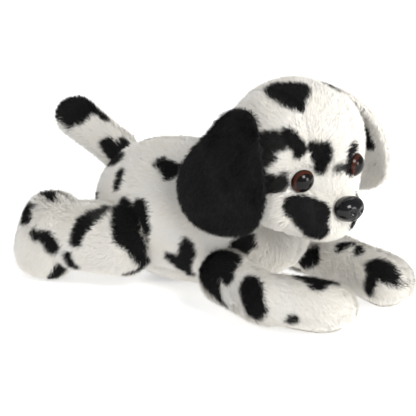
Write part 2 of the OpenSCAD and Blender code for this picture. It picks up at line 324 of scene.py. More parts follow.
@dataclass(frozen=True)
class BackingFinish:
    """The knitted backing that the pile stands on, dyed with it."""

    name: str
    cream: Colour = (0.74, 0.72, 0.67, 1)
    black: Colour = (0.012, 0.012, 0.012, 1)
    rib_mm: float = 0.9

    def build(self) -> bpy.types.Material:
        """Makes the material."""
        g = Graph(self.name)
        per_metre = 1 / (self.rib_mm * MM)
        ribs = g.node(
            "ShaderNodeTexWave",
            {"bands_direction": "X"},
            {"Vector": g.place(), "Scale": per_metre * 0.16, "Distortion": 1.5},
            out="Fac",
        )
        loops = g.node(
            "ShaderNodeTexVoronoi",
            values={"Vector": g.place(), "Scale": per_metre},
            out="Distance",
        )
        knit = ribs * 0.5 + loops * 0.6
        dyed = g.mix(g.attribute("ink"), self.cream, self.black)
        # Painted shade: where there is no ink, the cream is darkened along the knit's pattern, the
        # same pattern that the bump raises.
        shade = tuple(0.7 * c for c in self.cream[:3]) + (1,)
        knit_shaded = g.mix(0.25 * knit * (1 - g.attribute("ink")), dyed, shade)
        g.feed(g.shader.inputs["Base Color"], knit_shaded)
        g.constants(Roughness=0.9)
        g.bump(knit, 0.25, 0.5)
        return g.material


@dataclass(frozen=True)
class EyeFinish:
    """A clear cap over a brown iris and a black pupil."""

    pupil: Colour = (0.004, 0.003, 0.003, 1)
    iris: Colour = (0.05, 0.014, 0.008, 1)
    edge: Colour = (0.022, 0.006, 0.004, 1)
    pupil_share: float = 0.76

    def build(self) -> bpy.types.Material:
        """Makes the material. It reads how far a point is from the eye's middle."""
        g = Graph("eye_plastic")
        streaks = g.node(
            "ShaderNodeTexNoise",
            values={"Vector": g.place(), "Scale": 900.0, "Detail": 2.0},
            out="Fac",
        )
        radius = g.attribute("radius") + 0.04 * (streaks - 0.5)
        rings = g.node(
            "ShaderNodeValToRGB",
            {
                "stops": [
                    (0.0, self.pupil),
                    (self.pupil_share, self.pupil),
                    (self.pupil_share + 0.05, self.iris),
                    (0.90, self.iris),
                    (0.97, self.edge),
                ]
            },
            {"Fac": radius},
        )
        g.feed(g.shader.inputs["Base Color"], rings)
        g.constants(
            Roughness=0.2,
            Specular_IOR_Level=0.1,
            Coat_Weight=0.5,
            Coat_IOR=1.33,
            Coat_Roughness=0.02,
        )
        return g.material


@dataclass(frozen=True)
class MouldedFinish:
    """Moulded plastic with a faint grain."""

    name: str
    colour: Colour
    roughness: float
    coat: float = 0.0
    gloss: float = 0.4
    grain_mm: float = 0.35
    grain_depth_mm: float = 0.03

    def build(self) -> bpy.types.Material:
        """Makes the material."""
        g = Graph(self.name)
        grain = g.node(
            "ShaderNodeTexNoise",
            values={"Vector": g.place(), "Scale": 1 / (self.grain_mm * MM), "Detail": 3.0},
            out="Fac",
        )
        paler = tuple(min(1.0, 1.3 * c + 0.002) for c in self.colour[:3]) + (1,)
        g.feed(g.shader.inputs["Base Color"], g.mix(0.5 * grain, self.colour, paler))
        g.feed(g.shader.inputs["Roughness"], self.roughness + 0.08 * (grain - 0.5))
        g.constants(
            Coat_Weight=self.coat,
            Coat_IOR=1.4,
            Coat_Roughness=0.05,
            Specular_IOR_Level=self.gloss,
        )
        g.bump(grain, self.grain_depth_mm, 0.3)
        return g.material


@dataclass(frozen=True)
class TwistFinish:
    """Twisted sewing thread or plain knitted cloth, by its rib."""

    name: str
    colour: Colour
    rib_mm: float

    def build(self) -> bpy.types.Material:
        """Makes the material."""
        g = Graph(self.name)
        turned = g.node(
            "ShaderNodeMapping",
            values={"Vector": g.place(), "Rotation": (0.5, 0.7, 0.4)},
        )
        twist = g.node(
            "ShaderNodeTexWave",
            {"bands_direction": "DIAGONAL"},
            {"Vector": turned, "Scale": 0.16 / (self.rib_mm * MM), "Distortion": 0.6},
            out="Fac",
        )
        dark = tuple(0.6 * c for c in self.colour[:3]) + (1,)
        g.feed(g.shader.inputs["Base Color"], g.mix(twist, dark, self.colour))
        g.constants(Roughness=0.8)
        g.bump(twist, 0.15, 0.6)
        return g.material


# Spots


@dataclass(frozen=True)
class Blot:
    """A black spot, as a rod with round ends that dips through the surface of the pile."""

    start: Point
    end: Point
    wide: float
    narrow: float
    soft: float = 0.55
    strength: float = 1.0

    def depth(self, points: Array) -> Array:
        """How far inside the spot each point is, in millimetres."""
        a, b = np.array(self.start, float), np.array(self.end, float)
        along = b - a
        length2 = max(float(along @ along), 1e-6)
        t = np.clip((points - a) @ along / length2, 0, 1)
        off = np.linalg.norm(points - a - t[:, None] * along, axis=1)
        return self.wide + (self.narrow - self.wide) * t - off


@dataclass(frozen=True)
class Coat:
    """The dye of one stuffed part: its spots on a cream or a black ground."""

    blots: tuple[Blot, ...] = ()
    ground: float = 0.0
    ragged: float = 0.8
    grow: float = 1.5

    def ink(self, points: Array) -> Array:
        """How black the pile is at some points.

        Args:
            points: one point in millimetres in each row.

        Returns:
            0 for cream to 1 for black, for each point.
        """
        found = np.full(len(points), self.ground)
        ragged = self.ragged * (GRAIN.at(points, 4.5) + 0.7 * GRAIN.at(points + 50, 1.8))
        for blot in self.blots:
            edge = blot.depth(points) + ragged + self.grow
            found = np.maximum(found, blot.strength * ramp(edge, -blot.soft, blot.soft))
        return found


# Meshes


def add_ball(
    bm: bmesh.types.BMesh, centre: Point, radii: Point, turn: Point = (0, 0, 0)
) -> None:
    """Adds an ellipsoid.

    Args:
        bm: the mesh in the making, in millimetres.
        centre: its middle.
        radii: its three radii.
        turn: its turn about X, Y and Z in degrees.
    """
    spin = Euler([math.radians(a) for a in turn]).to_matrix().to_4x4()
    matrix = Matrix.Translation(centre) @ spin @ Matrix.Diagonal((*radii, 1))
    bmesh.ops.create_icosphere(bm, subdivisions=4, radius=1, matrix=matrix)


def add_chain(bm: bmesh.types.BMesh, beads: Sequence[tuple[Point, float]]) -> None:
    """Adds a row of balls with a tapered rod from each to the next.

    Args:
        bm: the mesh in the making, in millimetres.
        beads: the middle and the radius of each ball.
    """
    for centre, radius in beads:
        add_ball(bm, centre, (radius,) * 3)
    for (a, ra), (b, rb) in zip(beads, beads[1:]):
        axis = Vector(b) - Vector(a)
        turn = axis.to_track_quat("Z", "Y").to_matrix().to_4x4()
        middle = Matrix.Translation((Vector(a) + Vector(b)) / 2)
        bmesh.ops.create_cone(
            bm,
            cap_ends=True,
            segments=32,
            radius1=ra,
            radius2=rb,
            depth=axis.length,
            matrix=middle @ turn,
        )


def spun(profile: Sequence[tuple[float, float]], steps: int) -> bmesh.types.BMesh:
    """A closed round shape about the X axis.

    Args:
        profile: points of its outline as (along the axis, radius), from pole to pole.
        steps: the number of steps round.

    Returns:
        The mesh in the making.
    """
    bm = bmesh.new()
    verts = [bm.verts.new((x, 0, r)) for x, r in profile]
    edges = [bm.edges.new(pair) for pair in zip(verts, verts[1:])]
    bmesh.ops.spin(
        bm,
        geom=verts + edges,
        cent=(0, 0, 0),
        axis=(1, 0, 0),
        angle=math.tau,
        steps=steps,
        use_merge=True,
    )
    bmesh.ops.remove_doubles(bm, verts=bm.verts, dist=1e-4)
    bmesh.ops.recalc_face_normals(bm, faces=bm.faces)
    return bm


def finished(bm: bmesh.types.BMesh, name: str, place: Optional[Matrix] = None) -> bpy.types.Object:
    """Turns a mesh in the making into a smooth object in metres.

    Args:
        bm: the mesh in the making, in millimetres, which is used up.
        name: the object's name.
        place: where it goes in the CAD frame, in millimetres.

    Returns:
        The object, unturned at the origin.
    """
    if place is not None:
        bm.transform(place)
    bm.transform(Matrix.Scale(MM, 4))
    mesh = bpy.data.meshes.new(name)
    bm.to_mesh(mesh)
    bm.free()
    mesh.shade_smooth()
    made = bpy.data.objects.new(name, mesh)
    bpy.context.collection.objects.link(made)
    return made


def points_of(mesh: bpy.types.Mesh) -> Array:
    """A mesh's vertices in millimetres."""
    found = np.empty(len(mesh.vertices) * 3)
    mesh.vertices.foreach_get("co", found)
    return found.reshape(-1, 3) / MM


def move_points(mesh: bpy.types.Mesh, points: Array) -> None:
    """Moves a mesh's vertices to these points, in millimetres."""
    mesh.vertices.foreach_set("co", (points * MM).ravel())
    mesh.update()


def normals_of(mesh: bpy.types.Mesh) -> Array:
    """The normal at each vertex."""
    found = np.empty(len(mesh.vertices) * 3)
    mesh.vertices.foreach_get("normal", found)
    return found.reshape(-1, 3)


def mark(mesh: bpy.types.Mesh, name: str, values: Array) -> None:
    """Stores a number for each vertex."""
    layer = mesh.attributes.new(name, "FLOAT", "POINT")
    layer.data.foreach_set("value", values.astype(np.float32))


def read_mark(mesh: bpy.types.Mesh, name: str) -> Array:
    """Reads a number for each vertex."""
    found = np.empty(len(mesh.vertices), np.float32)
    mesh.attributes[name].data.foreach_get("value", found)
    return found


def applied(made: bpy.types.Object) -> None:
    """Puts the result of an object's modifiers into its mesh."""
    graph = bpy.context.evaluated_depsgraph_get()
    mesh = bpy.data.meshes.new_from_object(made.evaluated_get(graph))
    old, made.data = made.data, mesh
    made.modifiers.clear()
    bpy.data.meshes.remove(old)


def smoothed(bm: bmesh.types.BMesh, rounds: int) -> None:
    """Smooths a mesh in the making.

    Args:
        bm: the mesh.
        rounds: how many times it is smoothed.
    """
    for _ in range(rounds):
        bmesh.ops.smooth_vert(
            bm, verts=bm.verts, factor=0.5, use_axis_x=True, use_axis_y=True, use_axis_z=True
        )


def remeshed(made: bpy.types.Object, cell_mm: float, rounds: int) -> None:
    """Melts overlapping forms into one even skin and smooths it.

    Args:
        made: the object.
        cell_mm: the size of the new faces.
        rounds: how many times it is smoothed.
    """
    melt = made.modifiers.new("melt", "REMESH")
    melt.mode, melt.voxel_size = "VOXEL", cell_mm * MM
    applied(made)
    bm = bmesh.new()
    bm.from_mesh(made.data)
    smoothed(bm, rounds)
    bm.to_mesh(made.data)
    bm.free()


def puffed(made: bpy.types.Object, hold: Array, cap_mm: float) -> None:
    """Blows a skin up with the cloth solver, between the seams that hold it.

    Args:
        made: the object.
        hold: how firmly each vertex is held, from 0 to 1.
        cap_mm: the furthest that a vertex may move.
    """
    before = points_of(made.data)
    group = made.vertex_groups.new(name="seams")
    for index in np.flatnonzero(hold > 0.05):
        group.add([int(index)], float(hold[index]), "REPLACE")
    cloth = made.modifiers.new("puff", "CLOTH")
    cloth.settings.quality = 4
    cloth.settings.mass = 0.15
    cloth.settings.use_pressure = True
    cloth.settings.uniform_pressure_force = 4.0
    cloth.settings.tension_stiffness = cloth.settings.compression_stiffness = 12
    cloth.settings.bending_stiffness = 0.8
    cloth.settings.vertex_group_mass = group.name
    cloth.settings.effector_weights.gravity = 0
    cloth.point_cache.frame_start, cloth.point_cache.frame_end = 1, PUFF_FRAMES
    for step in range(1, PUFF_FRAMES + 1):
        bpy.context.scene.frame_set(step)
    applied(made)
    bpy.context.scene.frame_set(1)
    made.vertex_groups.clear()
    moved = points_of(made.data) - before
    far = np.linalg.norm(moved, axis=1, keepdims=True)
    moved *= np.minimum(1, cap_mm / np.maximum(far, 1e-9))
    move_points(made.data, before + moved)



@dataclass(frozen=True)
class Rod:
    """A rod with round ends, or a ball where both ends are the same point."""

    start: Point
    end: Point
    radius: float

    def inside(self, points: Array) -> Array:
        """How far inside the rod each point is, in millimetres."""
        return Blot(self.start, self.end, self.radius, self.radius).depth(points)


def pressed(points: Array, rods: Sequence[Rod], direction: Array) -> Array:
    """Presses a surface in wherever a rod would lie in it.

    Args:
        points: the vertices in millimetres.
        rods: what is pressed in.
        direction: the way that the surface gives, one for each vertex.

    Returns:
        The moved vertices.
    """
    points = points.copy()
    for _ in range(PRESS_ROUNDS):
        inside = np.max([rod.inside(points) for rod in rods], axis=0) > 0
        if not inside.any():
            break
        points[inside] += PRESS_STEP * direction[inside]
    return points


def held_to(points: Array, point: Point, normal: Point) -> Array:
    """Flattens whatever stands out past a plane onto it."""
    way = np.array(normal, float) / np.linalg.norm(normal)
    past = np.maximum((points - np.array(point)) @ way, 0)
    return points - past[:, None] * way


# Pile


@dataclass(frozen=True)
class Nap:
    """How the pile of a part stands.

    Lengths are in millimetres, the lean is the angle from upright in degrees, the wander is how
    much the strands part and swirl, and the density is in strands to the square millimetre.
    Single strands differ by the scatter of their way, the twist of their blade and the lean's
    spread in degrees, and each one curls by the bend. The skin's share and the shimmer set the
    light on a strand: how much it follows the skin, and how much it differs from its neighbours.
    """

    length: float = 4.6
    width: float = 0.30
    lean: float = 40.0
    wander: float = 0.2
    density: float = 6.6
    scatter: float = 0.42
    twist: float = 0.35
    lean_spread: float = 9.0
    bend: float = 0.22
    skin_share: float = 0.5
    shimmer: float = 0.17


def blade_template() -> tuple[Array, Array, list[tuple[int, ...]]]:
    """One strand: two faces on a strip that comes to a point.

    Returns:
        The place of each vertex across the strand, its place along it, and its faces.
    """
    bm = bmesh.new()
    bmesh.ops.create_grid(bm, x_segments=1, y_segments=2, size=0.5)
    for vert in bm.verts:
        vert.co.y += 0.5
        if vert.co.y > 0.9:
            vert.co.x = 0.0
        elif vert.co.y > 0.3:
            vert.co.x *= 0.85
    bmesh.ops.remove_doubles(bm, verts=bm.verts, dist=1e-4)
    bm.verts.index_update()
    across = np.array([v.co.x for v in bm.verts])
    along = np.array([v.co.y for v in bm.verts])
    faces = [tuple(v.index for v in f.verts) for f in bm.faces]
    bm.free()
    return across, along, faces


@dataclass
class Roots:
    """Where the strands of a panel start, one in each row."""

    points: Array
    normals: Array
    uv: Array
    lengths: Array


class Pile:
    """Grows strands on a panel."""

    def __init__(self, nap: Nap, coat: Coat, flow: Callable[[Array], Array]) -> None:
        """Keeps what the strands need.

        Args:
            nap: how they stand.
            coat: how they are dyed.
            flow: the way that they lie at some points, one vector in each row.
        """
        self.nap, self.coat, self.flow = nap, coat, flow

    def roots(self, mesh: bpy.types.Mesh, rng: np.random.Generator) -> Roots:
        """Scatters the strands' roots evenly over a panel.

        Args:
            mesh: the panel, with its map and its "growth" mark.
            rng: the source of random numbers.

        Returns:
            The roots.
        """
        mesh.calc_loop_triangles()
        count = len(mesh.loop_triangles)
        corners = np.empty(count * 3, np.int32)
        loops = np.empty(count * 3, np.int32)
        mesh.loop_triangles.foreach_get("vertices", corners)
        mesh.loop_triangles.foreach_get("loops", loops)
        corners, loops = corners.reshape(-1, 3), loops.reshape(-1, 3)
        points, normals = points_of(mesh), normals_of(mesh)
        growth = read_mark(mesh, "growth")
        uv = np.empty(len(mesh.loops) * 2)
        mesh.uv_layers["OFBake"].data.foreach_get("uv", uv)
        uv = uv.reshape(-1, 2)
        a, b, c = (points[corners[:, i]] for i in range(3))
        area = np.linalg.norm(np.cross(b - a, c - a), axis=1) / 2
        area *= growth[corners].max(axis=1) > 0.05
        total = int(area.sum() * self.nap.density)
        chosen = np.searchsorted(np.cumsum(area), rng.random(total) * area.sum())
        chosen = np.minimum(chosen, count - 1)
        r1, r2 = np.sqrt(rng.random(total)), rng.random(total)
        share = np.stack([1 - r1, r1 * (1 - r2), r1 * r2], axis=1)[:, :, None]
        found = Roots(
            points=(points[corners[chosen]] * share).sum(1),
            normals=unit((normals[corners[chosen]] * share).sum(1)),
            uv=(uv[loops[chosen]] * share).sum(1),
            lengths=(growth[corners[chosen]] * share[:, :, 0]).sum(1),
        )
        keep = found.lengths > 0.12
        return Roots(found.points[keep], found.normals[keep], found.uv[keep], found.lengths[keep])

    def grow(self, panel: bpy.types.Object, name: str) -> bpy.types.Object:
        """Grows the strands of a panel.

        Args:
            panel: the panel, with its map and its "growth" mark.
            name: the pile's name.

        Returns:
            The pile, as one object.
        """
        rng = np.random.default_rng(SEED + sum(map(ord, name)))
        roots = self.roots(panel.data, rng)
        total, normals = len(roots.points), roots.normals
        swirl = np.stack(
            [GRAIN.at(roots.points + 90 * i, 7.0) for i in range(1, 4)], axis=1
        )
        way = unit(self.flow(roots.points)) + self.nap.wander * swirl
        way += rng.normal(0, self.nap.scatter, (total, 3))
        way = unit(way - (way * normals).sum(1, keepdims=True) * normals)
        side = unit(np.cross(way, normals))
        twist = rng.normal(0, self.nap.twist, (total, 1))
        side = unit(side * np.cos(twist) + normals * np.sin(twist) * 0.5)
        lean = np.radians(self.nap.lean + rng.normal(0, self.nap.lean_spread, total))
        length = self.nap.length * roots.lengths * rng.uniform(0.72, 1.12, total)
        across, along, faces = blade_template()
        bend, skin_share = self.nap.bend, self.nap.skin_share
        out = np.cos(lean)[:, None] * (along - bend * along**2) * length[:, None]
        run = np.sin(lean)[:, None] * (along + bend * along**2) * length[:, None]
        wide = self.nap.width * rng.uniform(0.8, 1.2, total)[:, None] * across
        verts = (
            roots.points[:, None]
            + out[:, :, None] * normals[:, None]
            + run[:, :, None] * way[:, None]
            + wide[:, :, None] * side[:, None]
        )
        verts[:, :, 2] = np.maximum(verts[:, :, 2], 0.12)
        facing = unit(np.cross(side, verts[:, -1] - roots.points))
        facing *= np.sign((facing * normals).sum(1, keepdims=True))
        soft = skin_share * normals + (1 - skin_share) * facing
        soft = unit(soft + rng.normal(0, self.nap.shimmer, (total, 3)))
        return self.woven(name, verts, faces, roots, (across, along), soft)

    def woven(
        self,
        name: str,
        verts: Array,
        faces: list[tuple[int, ...]],
        roots: Roots,
        template: tuple[Array, Array],
        facing: Array,
    ) -> bpy.types.Object:
        """Makes one mesh of all the strands.

        Args:
            name: the object's name.
            verts: the vertices, by strand, by vertex, by axis, in millimetres.
            faces: the faces of one strand.
            roots: where the strands start.
            template: each vertex's place across and along a strand.
            facing: the direction that each strand is lit from, between its own and the skin's.

        Returns:
            The object.
        """
        total, each = verts.shape[:2]
        mesh = bpy.data.meshes.new(name)
        corners = np.concatenate(faces)
        sizes = [len(f) for f in faces]
        starts = np.concatenate([[0], np.cumsum(sizes)[:-1]])
        mesh.vertices.add(total * each)
        mesh.vertices.foreach_set("co", (verts * MM).ravel())
        mesh.loops.add(total * len(corners))
        strand = np.arange(total)[:, None]
        mesh.loops.foreach_set("vertex_index", (corners + strand * each).ravel())
        mesh.polygons.add(total * len(faces))
        mesh.polygons.foreach_set("loop_start", (starts + strand * len(corners)).ravel())
        mesh.update(calc_edges=True)
        layer = mesh.uv_layers.new(name="OFBake", do_init=False)
        spread = np.stack([template[0][corners], template[1][corners] - 0.5], axis=1)
        uv = roots.uv[:, None] + spread * 2 * MAP_STEP
        layer.data.foreach_set("uv", uv.clip(0, 1).ravel())
        jitter = np.random.default_rng(SEED).normal(0, 0.45, (total, 3))
        ink = self.coat.ink(verts.mean(axis=1) + jitter)
        # The same random tone places the painted glints in the black pile.
        tone = 0.5 + 0.5 * np.clip(
            0.7 * GRAIN.at(roots.points, 9.0) + 0.5 * GRAIN.at(roots.points, 1.2), -1, 1
        )
        mark(mesh, "ink", np.repeat(ink, each))
        mark(mesh, "tone", np.repeat(tone, each))
        mesh.shade_smooth()
        mesh.normals_split_custom_set_from_vertices(np.repeat(facing, each, axis=0))
        made = bpy.data.objects.new(name, mesh)
        bpy.context.collection.objects.link(made)
        return made


# Stuffed parts


@dataclass(frozen=True)
class Panel:
    """A sewn panel: its name and the CAD nodes that it stands for."""

    name: str
    nodes: tuple[str, ...]
    slot: str = "spotted_pile"


@dataclass
class StuffedPart:
    """A stuffed part of the toy, cut from several panels.

    Its sizes are in millimetres in its own frame, which place takes to the CAD frame.
    """

    body: str
    cell: float = 2.2
    rounds: int = 5
    swell: float = 1.3
    thickness: float = 1.0
    fill: float = 0.8
    nap: Nap = field(default_factory=Nap)
    coat: Coat = field(default_factory=Coat)

    def place(self) -> Matrix:
        """Where the part's own frame is."""
        return Matrix.Identity(4)

    def blank(self) -> bmesh.types.BMesh:
        """The rough form before it is remeshed."""
        raise NotImplementedError

    def sculpt(self, points: Array) -> Array:
        """Moves the vertices of the melted form."""
        return points

    def settle(self, points: Array) -> Array:
        """Moves the vertices once more after the skin is puffed out."""
        return points

    def seams(self) -> list[tuple[Point, Point]]:
        """The planes that the panels are cut along, each as a point and a normal."""
        raise NotImplementedError

    def panels(self) -> list[Panel]:
        """The panels, in the order that sort() numbers them."""
        raise NotImplementedError

    def sort(self, points: Array) -> Array:
        """The number of the panel that each point is in."""
        raise NotImplementedError

    def growth(self, points: Array) -> Array:
        """How long the pile is at some points, as a share of its full length."""
        return np.ones(len(points))

    def flow(self, points: Array) -> Array:
        """The way that the pile lies at some points."""
        return np.tile((-1.0, 0.0, -0.6), (len(points), 1))

    def seam_distance(self, points: Array) -> Array:
        """How far each point is from the nearest seam, in millimetres."""
        near = [
            abs((points - np.array(p)) @ (np.array(n) / np.linalg.norm(n)))
            for p, n in self.seams()
        ]
        return np.min(near, axis=0)

    def skin(self) -> bpy.types.Object:
        """The whole closed skin, in the part's own frame."""
        made = finished(self.blank(), f"{self.body}_form")
        remeshed(made, self.cell, self.rounds)
        move_points(made.data, self.sculpt(points_of(made.data)))
        hold = 1 - ramp(self.seam_distance(points_of(made.data)), 0.8, 3.2)
        puffed(made, hold, self.swell)
        move_points(made.data, self.settle(points_of(made.data)))
        return made

    def build(self, pile: bpy.types.Material, backing: bpy.types.Material) -> None:
        """Makes the panels and their pile, and ties them to the part's body.

        Args:
            pile: the finish of the strands.
            backing: the finish of the cloth under them.
        """
        whole = self.skin()
        sewn = bmesh.new()
        sewn.from_mesh(whole.data)
        for point, normal in self.seams():
            bmesh.ops.bisect_plane(
                sewn,
                geom=sewn.verts[:] + sewn.edges[:] + sewn.faces[:],
                dist=1e-6,
                plane_co=Vector(point) * MM,
                plane_no=Vector(normal),
            )
        sewn.faces.ensure_lookup_table()
        centres = np.array([f.calc_center_median() for f in sewn.faces]) / MM
        numbers = self.sort(centres)
        bpy.data.objects.remove(whole)
        for number, panel in enumerate(self.panels()):
            cut = sewn.copy()
            cut.faces.ensure_lookup_table()
            others = [f for f, n in zip(cut.faces, numbers) if n != number]
            bmesh.ops.delete(cut, geom=others, context="FACES")
            self.finish_panel(cut, panel, pile, backing)
        sewn.free()

    def finish_panel(
        self,
        cut: bmesh.types.BMesh,
        panel: Panel,
        pile: bpy.types.Material,
        backing: bpy.types.Material,
    ) -> None:
        """Makes one panel and its pile.

        Args:
            cut: the panel's faces, in metres in the part's own frame.
            panel: its name and what it stands for.
            pile: the finish of the strands.
            backing: the finish of the cloth under them.
        """
        cut.transform(Matrix.Scale(1 / MM, 4))
        made = finished(cut, panel.name)
        local = points_of(made.data)
        mark(made.data, "growth", self.growth(local) * self.parting(local))
        place = self.place()
        turn = np.array(place.to_3x3())
        world = local @ turn.T + np.array(place.translation)
        move_points(made.data, world)
        ink = self.coat.ink(world)
        mark(made.data, "ink", ink)
        lay_flat(made)
        back = np.linalg.inv(turn)
        shift = np.array(place.translation)

        def flow(points: Array) -> Array:
            """The part's own flow, turned to the CAD frame."""
            return self.flow((points - shift) @ back.T) @ turn.T

        strands = Pile(self.nap, self.coat, flow).grow(made, f"{panel.name}_pile")
        strands.data.materials.append(pile)
        made.data.uv_layers.remove(made.data.uv_layers["OFBake"])
        made.data.attributes.remove(made.data.attributes["growth"])
        made.data.materials.append(backing)
        wall = made.modifiers.new("wall", "SOLIDIFY")
        wall.thickness, wall.offset = self.thickness * MM, -1
        applied(made)
        for piece in (made, strands):
            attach(piece, self.body)
        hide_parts(*panel.nodes)
        LOG.info(
            "%s: %d faces under %d strands",
            panel.name,
            len(made.data.polygons),
            len(strands.data.polygons) // 2,
        )

    def parting(self, points: Array) -> Array:
        """How much shorter the pile is over a seam."""
        return 1 - 0.5 * np.exp(-((self.seam_distance(points) / 1.1) ** 2))


def lay_flat(made: bpy.types.Object) -> None:
    """Gives a panel a map of its own, for its pile."""
    bpy.ops.object.select_all(action="DESELECT")
    made.select_set(True)
    bpy.context.view_layer.objects.active = made
    made.data.uv_layers.new(name="OFBake")
    bpy.ops.object.mode_set(mode="EDIT")
    bpy.ops.mesh.select_all(action="SELECT")
    bpy.ops.uv.smart_project(angle_limit=1.15, island_margin=0.006, scale_to_bounds=True)
    bpy.ops.object.mode_set(mode="OBJECT")


@dataclass
class Torso(StuffedPart):
    """The long body, dented where the head, the legs and the tail are sewn on."""

    body: str = "torso"
    half: float = 57.0
    radius: float = 33.6
    blunt: float = 0.68
    narrowing: float = 0.1
    centre: Point = (-10.0, 0.0, 36.0)
    rise: float = 2.5
    floor: float = 1.2
    belly_seam: float = 15.0
    head_hollow: float = 38.6
    shoulder_hollow: float = 12.6
    hip_hollow: float = 16.6
    tail_hollow: float = 8.6

    def blank(self) -> bmesh.types.BMesh:
        """A blunt pod, a little slimmer at the chest."""
        bm = bmesh.new()
        bmesh.ops.create_uvsphere(bm, u_segments=64, v_segments=48, radius=1)
        bm.transform(Matrix.Rotation(math.radians(90), 4, "Y"))
        for vert in bm.verts:
            x, y, z = vert.co
            sine = math.hypot(y, z)
            scale = self.radius * sine**self.blunt * (1 - self.narrowing * x)
            scale /= max(sine, 1e-6)
            vert.co = (x * self.half, y * scale, z * scale)
        lift = Matrix.Rotation(-math.radians(self.rise), 4, "Y")
        bm.transform(Matrix.Translation(self.centre) @ lift)
        return bm

    def hollows(self) -> list[Rod]:
        """What the torso gives way to."""
        head, tail = tuple(pivot("head_nod")), tuple(pivot("tail_wag"))
        found = [Rod(head, head, self.head_hollow), Rod(tail, tail, self.tail_hollow)]
        for side in Side:
            shoulder = tuple(pivot(f"foreleg_{side.word}_spread"))
            hip = tuple(pivot(f"hindleg_{side.word}_spread"))
            found.append(Rod(shoulder, shoulder, self.shoulder_hollow))
            found.append(Rod(hip, hip, self.hip_hollow))
        return found

    def sculpt(self, points: Array) -> Array:
        """Presses the hollows in and the belly flat."""
        core = np.array(self.centre) - points
        core[:, 0] *= 0.35
        points = pressed(points, self.hollows(), unit(core))
        return held_to(points, (0, 0, self.floor), (0, 0, -1))

    def settle(self, points: Array) -> Array:
        """Keeps the belly on the surface that the toy lies on."""
        return held_to(points, (0, 0, self.floor), (0, 0, -1))

    def seams(self) -> list[tuple[Point, Point]]:
        """The seam along the back and the one round the belly."""
        return [((0, 0, 0), (0, 1, 0)), ((0, 0, self.belly_seam), (0, 0, 1))]

    def panels(self) -> list[Panel]:
        """The belly and the two sides of the back."""
        return [
            Panel("torso_belly", ("belly_panel", "torso_filling", "belly_pellet_pouch")),
            Panel("torso_back_right", ("back_panel_right",)),
            Panel("torso_back_left", ("back_panel_left",)),
        ]

    def sort(self, points: Array) -> Array:
        """Belly, right or left."""
        upper = points[:, 2] > self.belly_seam
        return np.where(upper, np.where(points[:, 1] < 0, 1, 2), 0)

    def seam_distance(self, points: Array) -> Array:
        """The back seam holds only above the belly seam."""
        back = np.where(points[:, 2] > self.belly_seam, abs(points[:, 1]), FAR)
        return np.minimum(back, abs(points[:, 2] - self.belly_seam))

    def growth(self, points: Array) -> Array:
        """No pile in the hollows or under the belly."""
        deep = np.max([rod.inside(points) for rod in self.hollows()], axis=0)
        open_air = ramp(-deep, 0.1, 2.4)
        return open_air * (0.3 + 0.7 * ramp(points[:, 2], 1.5, 6.0))


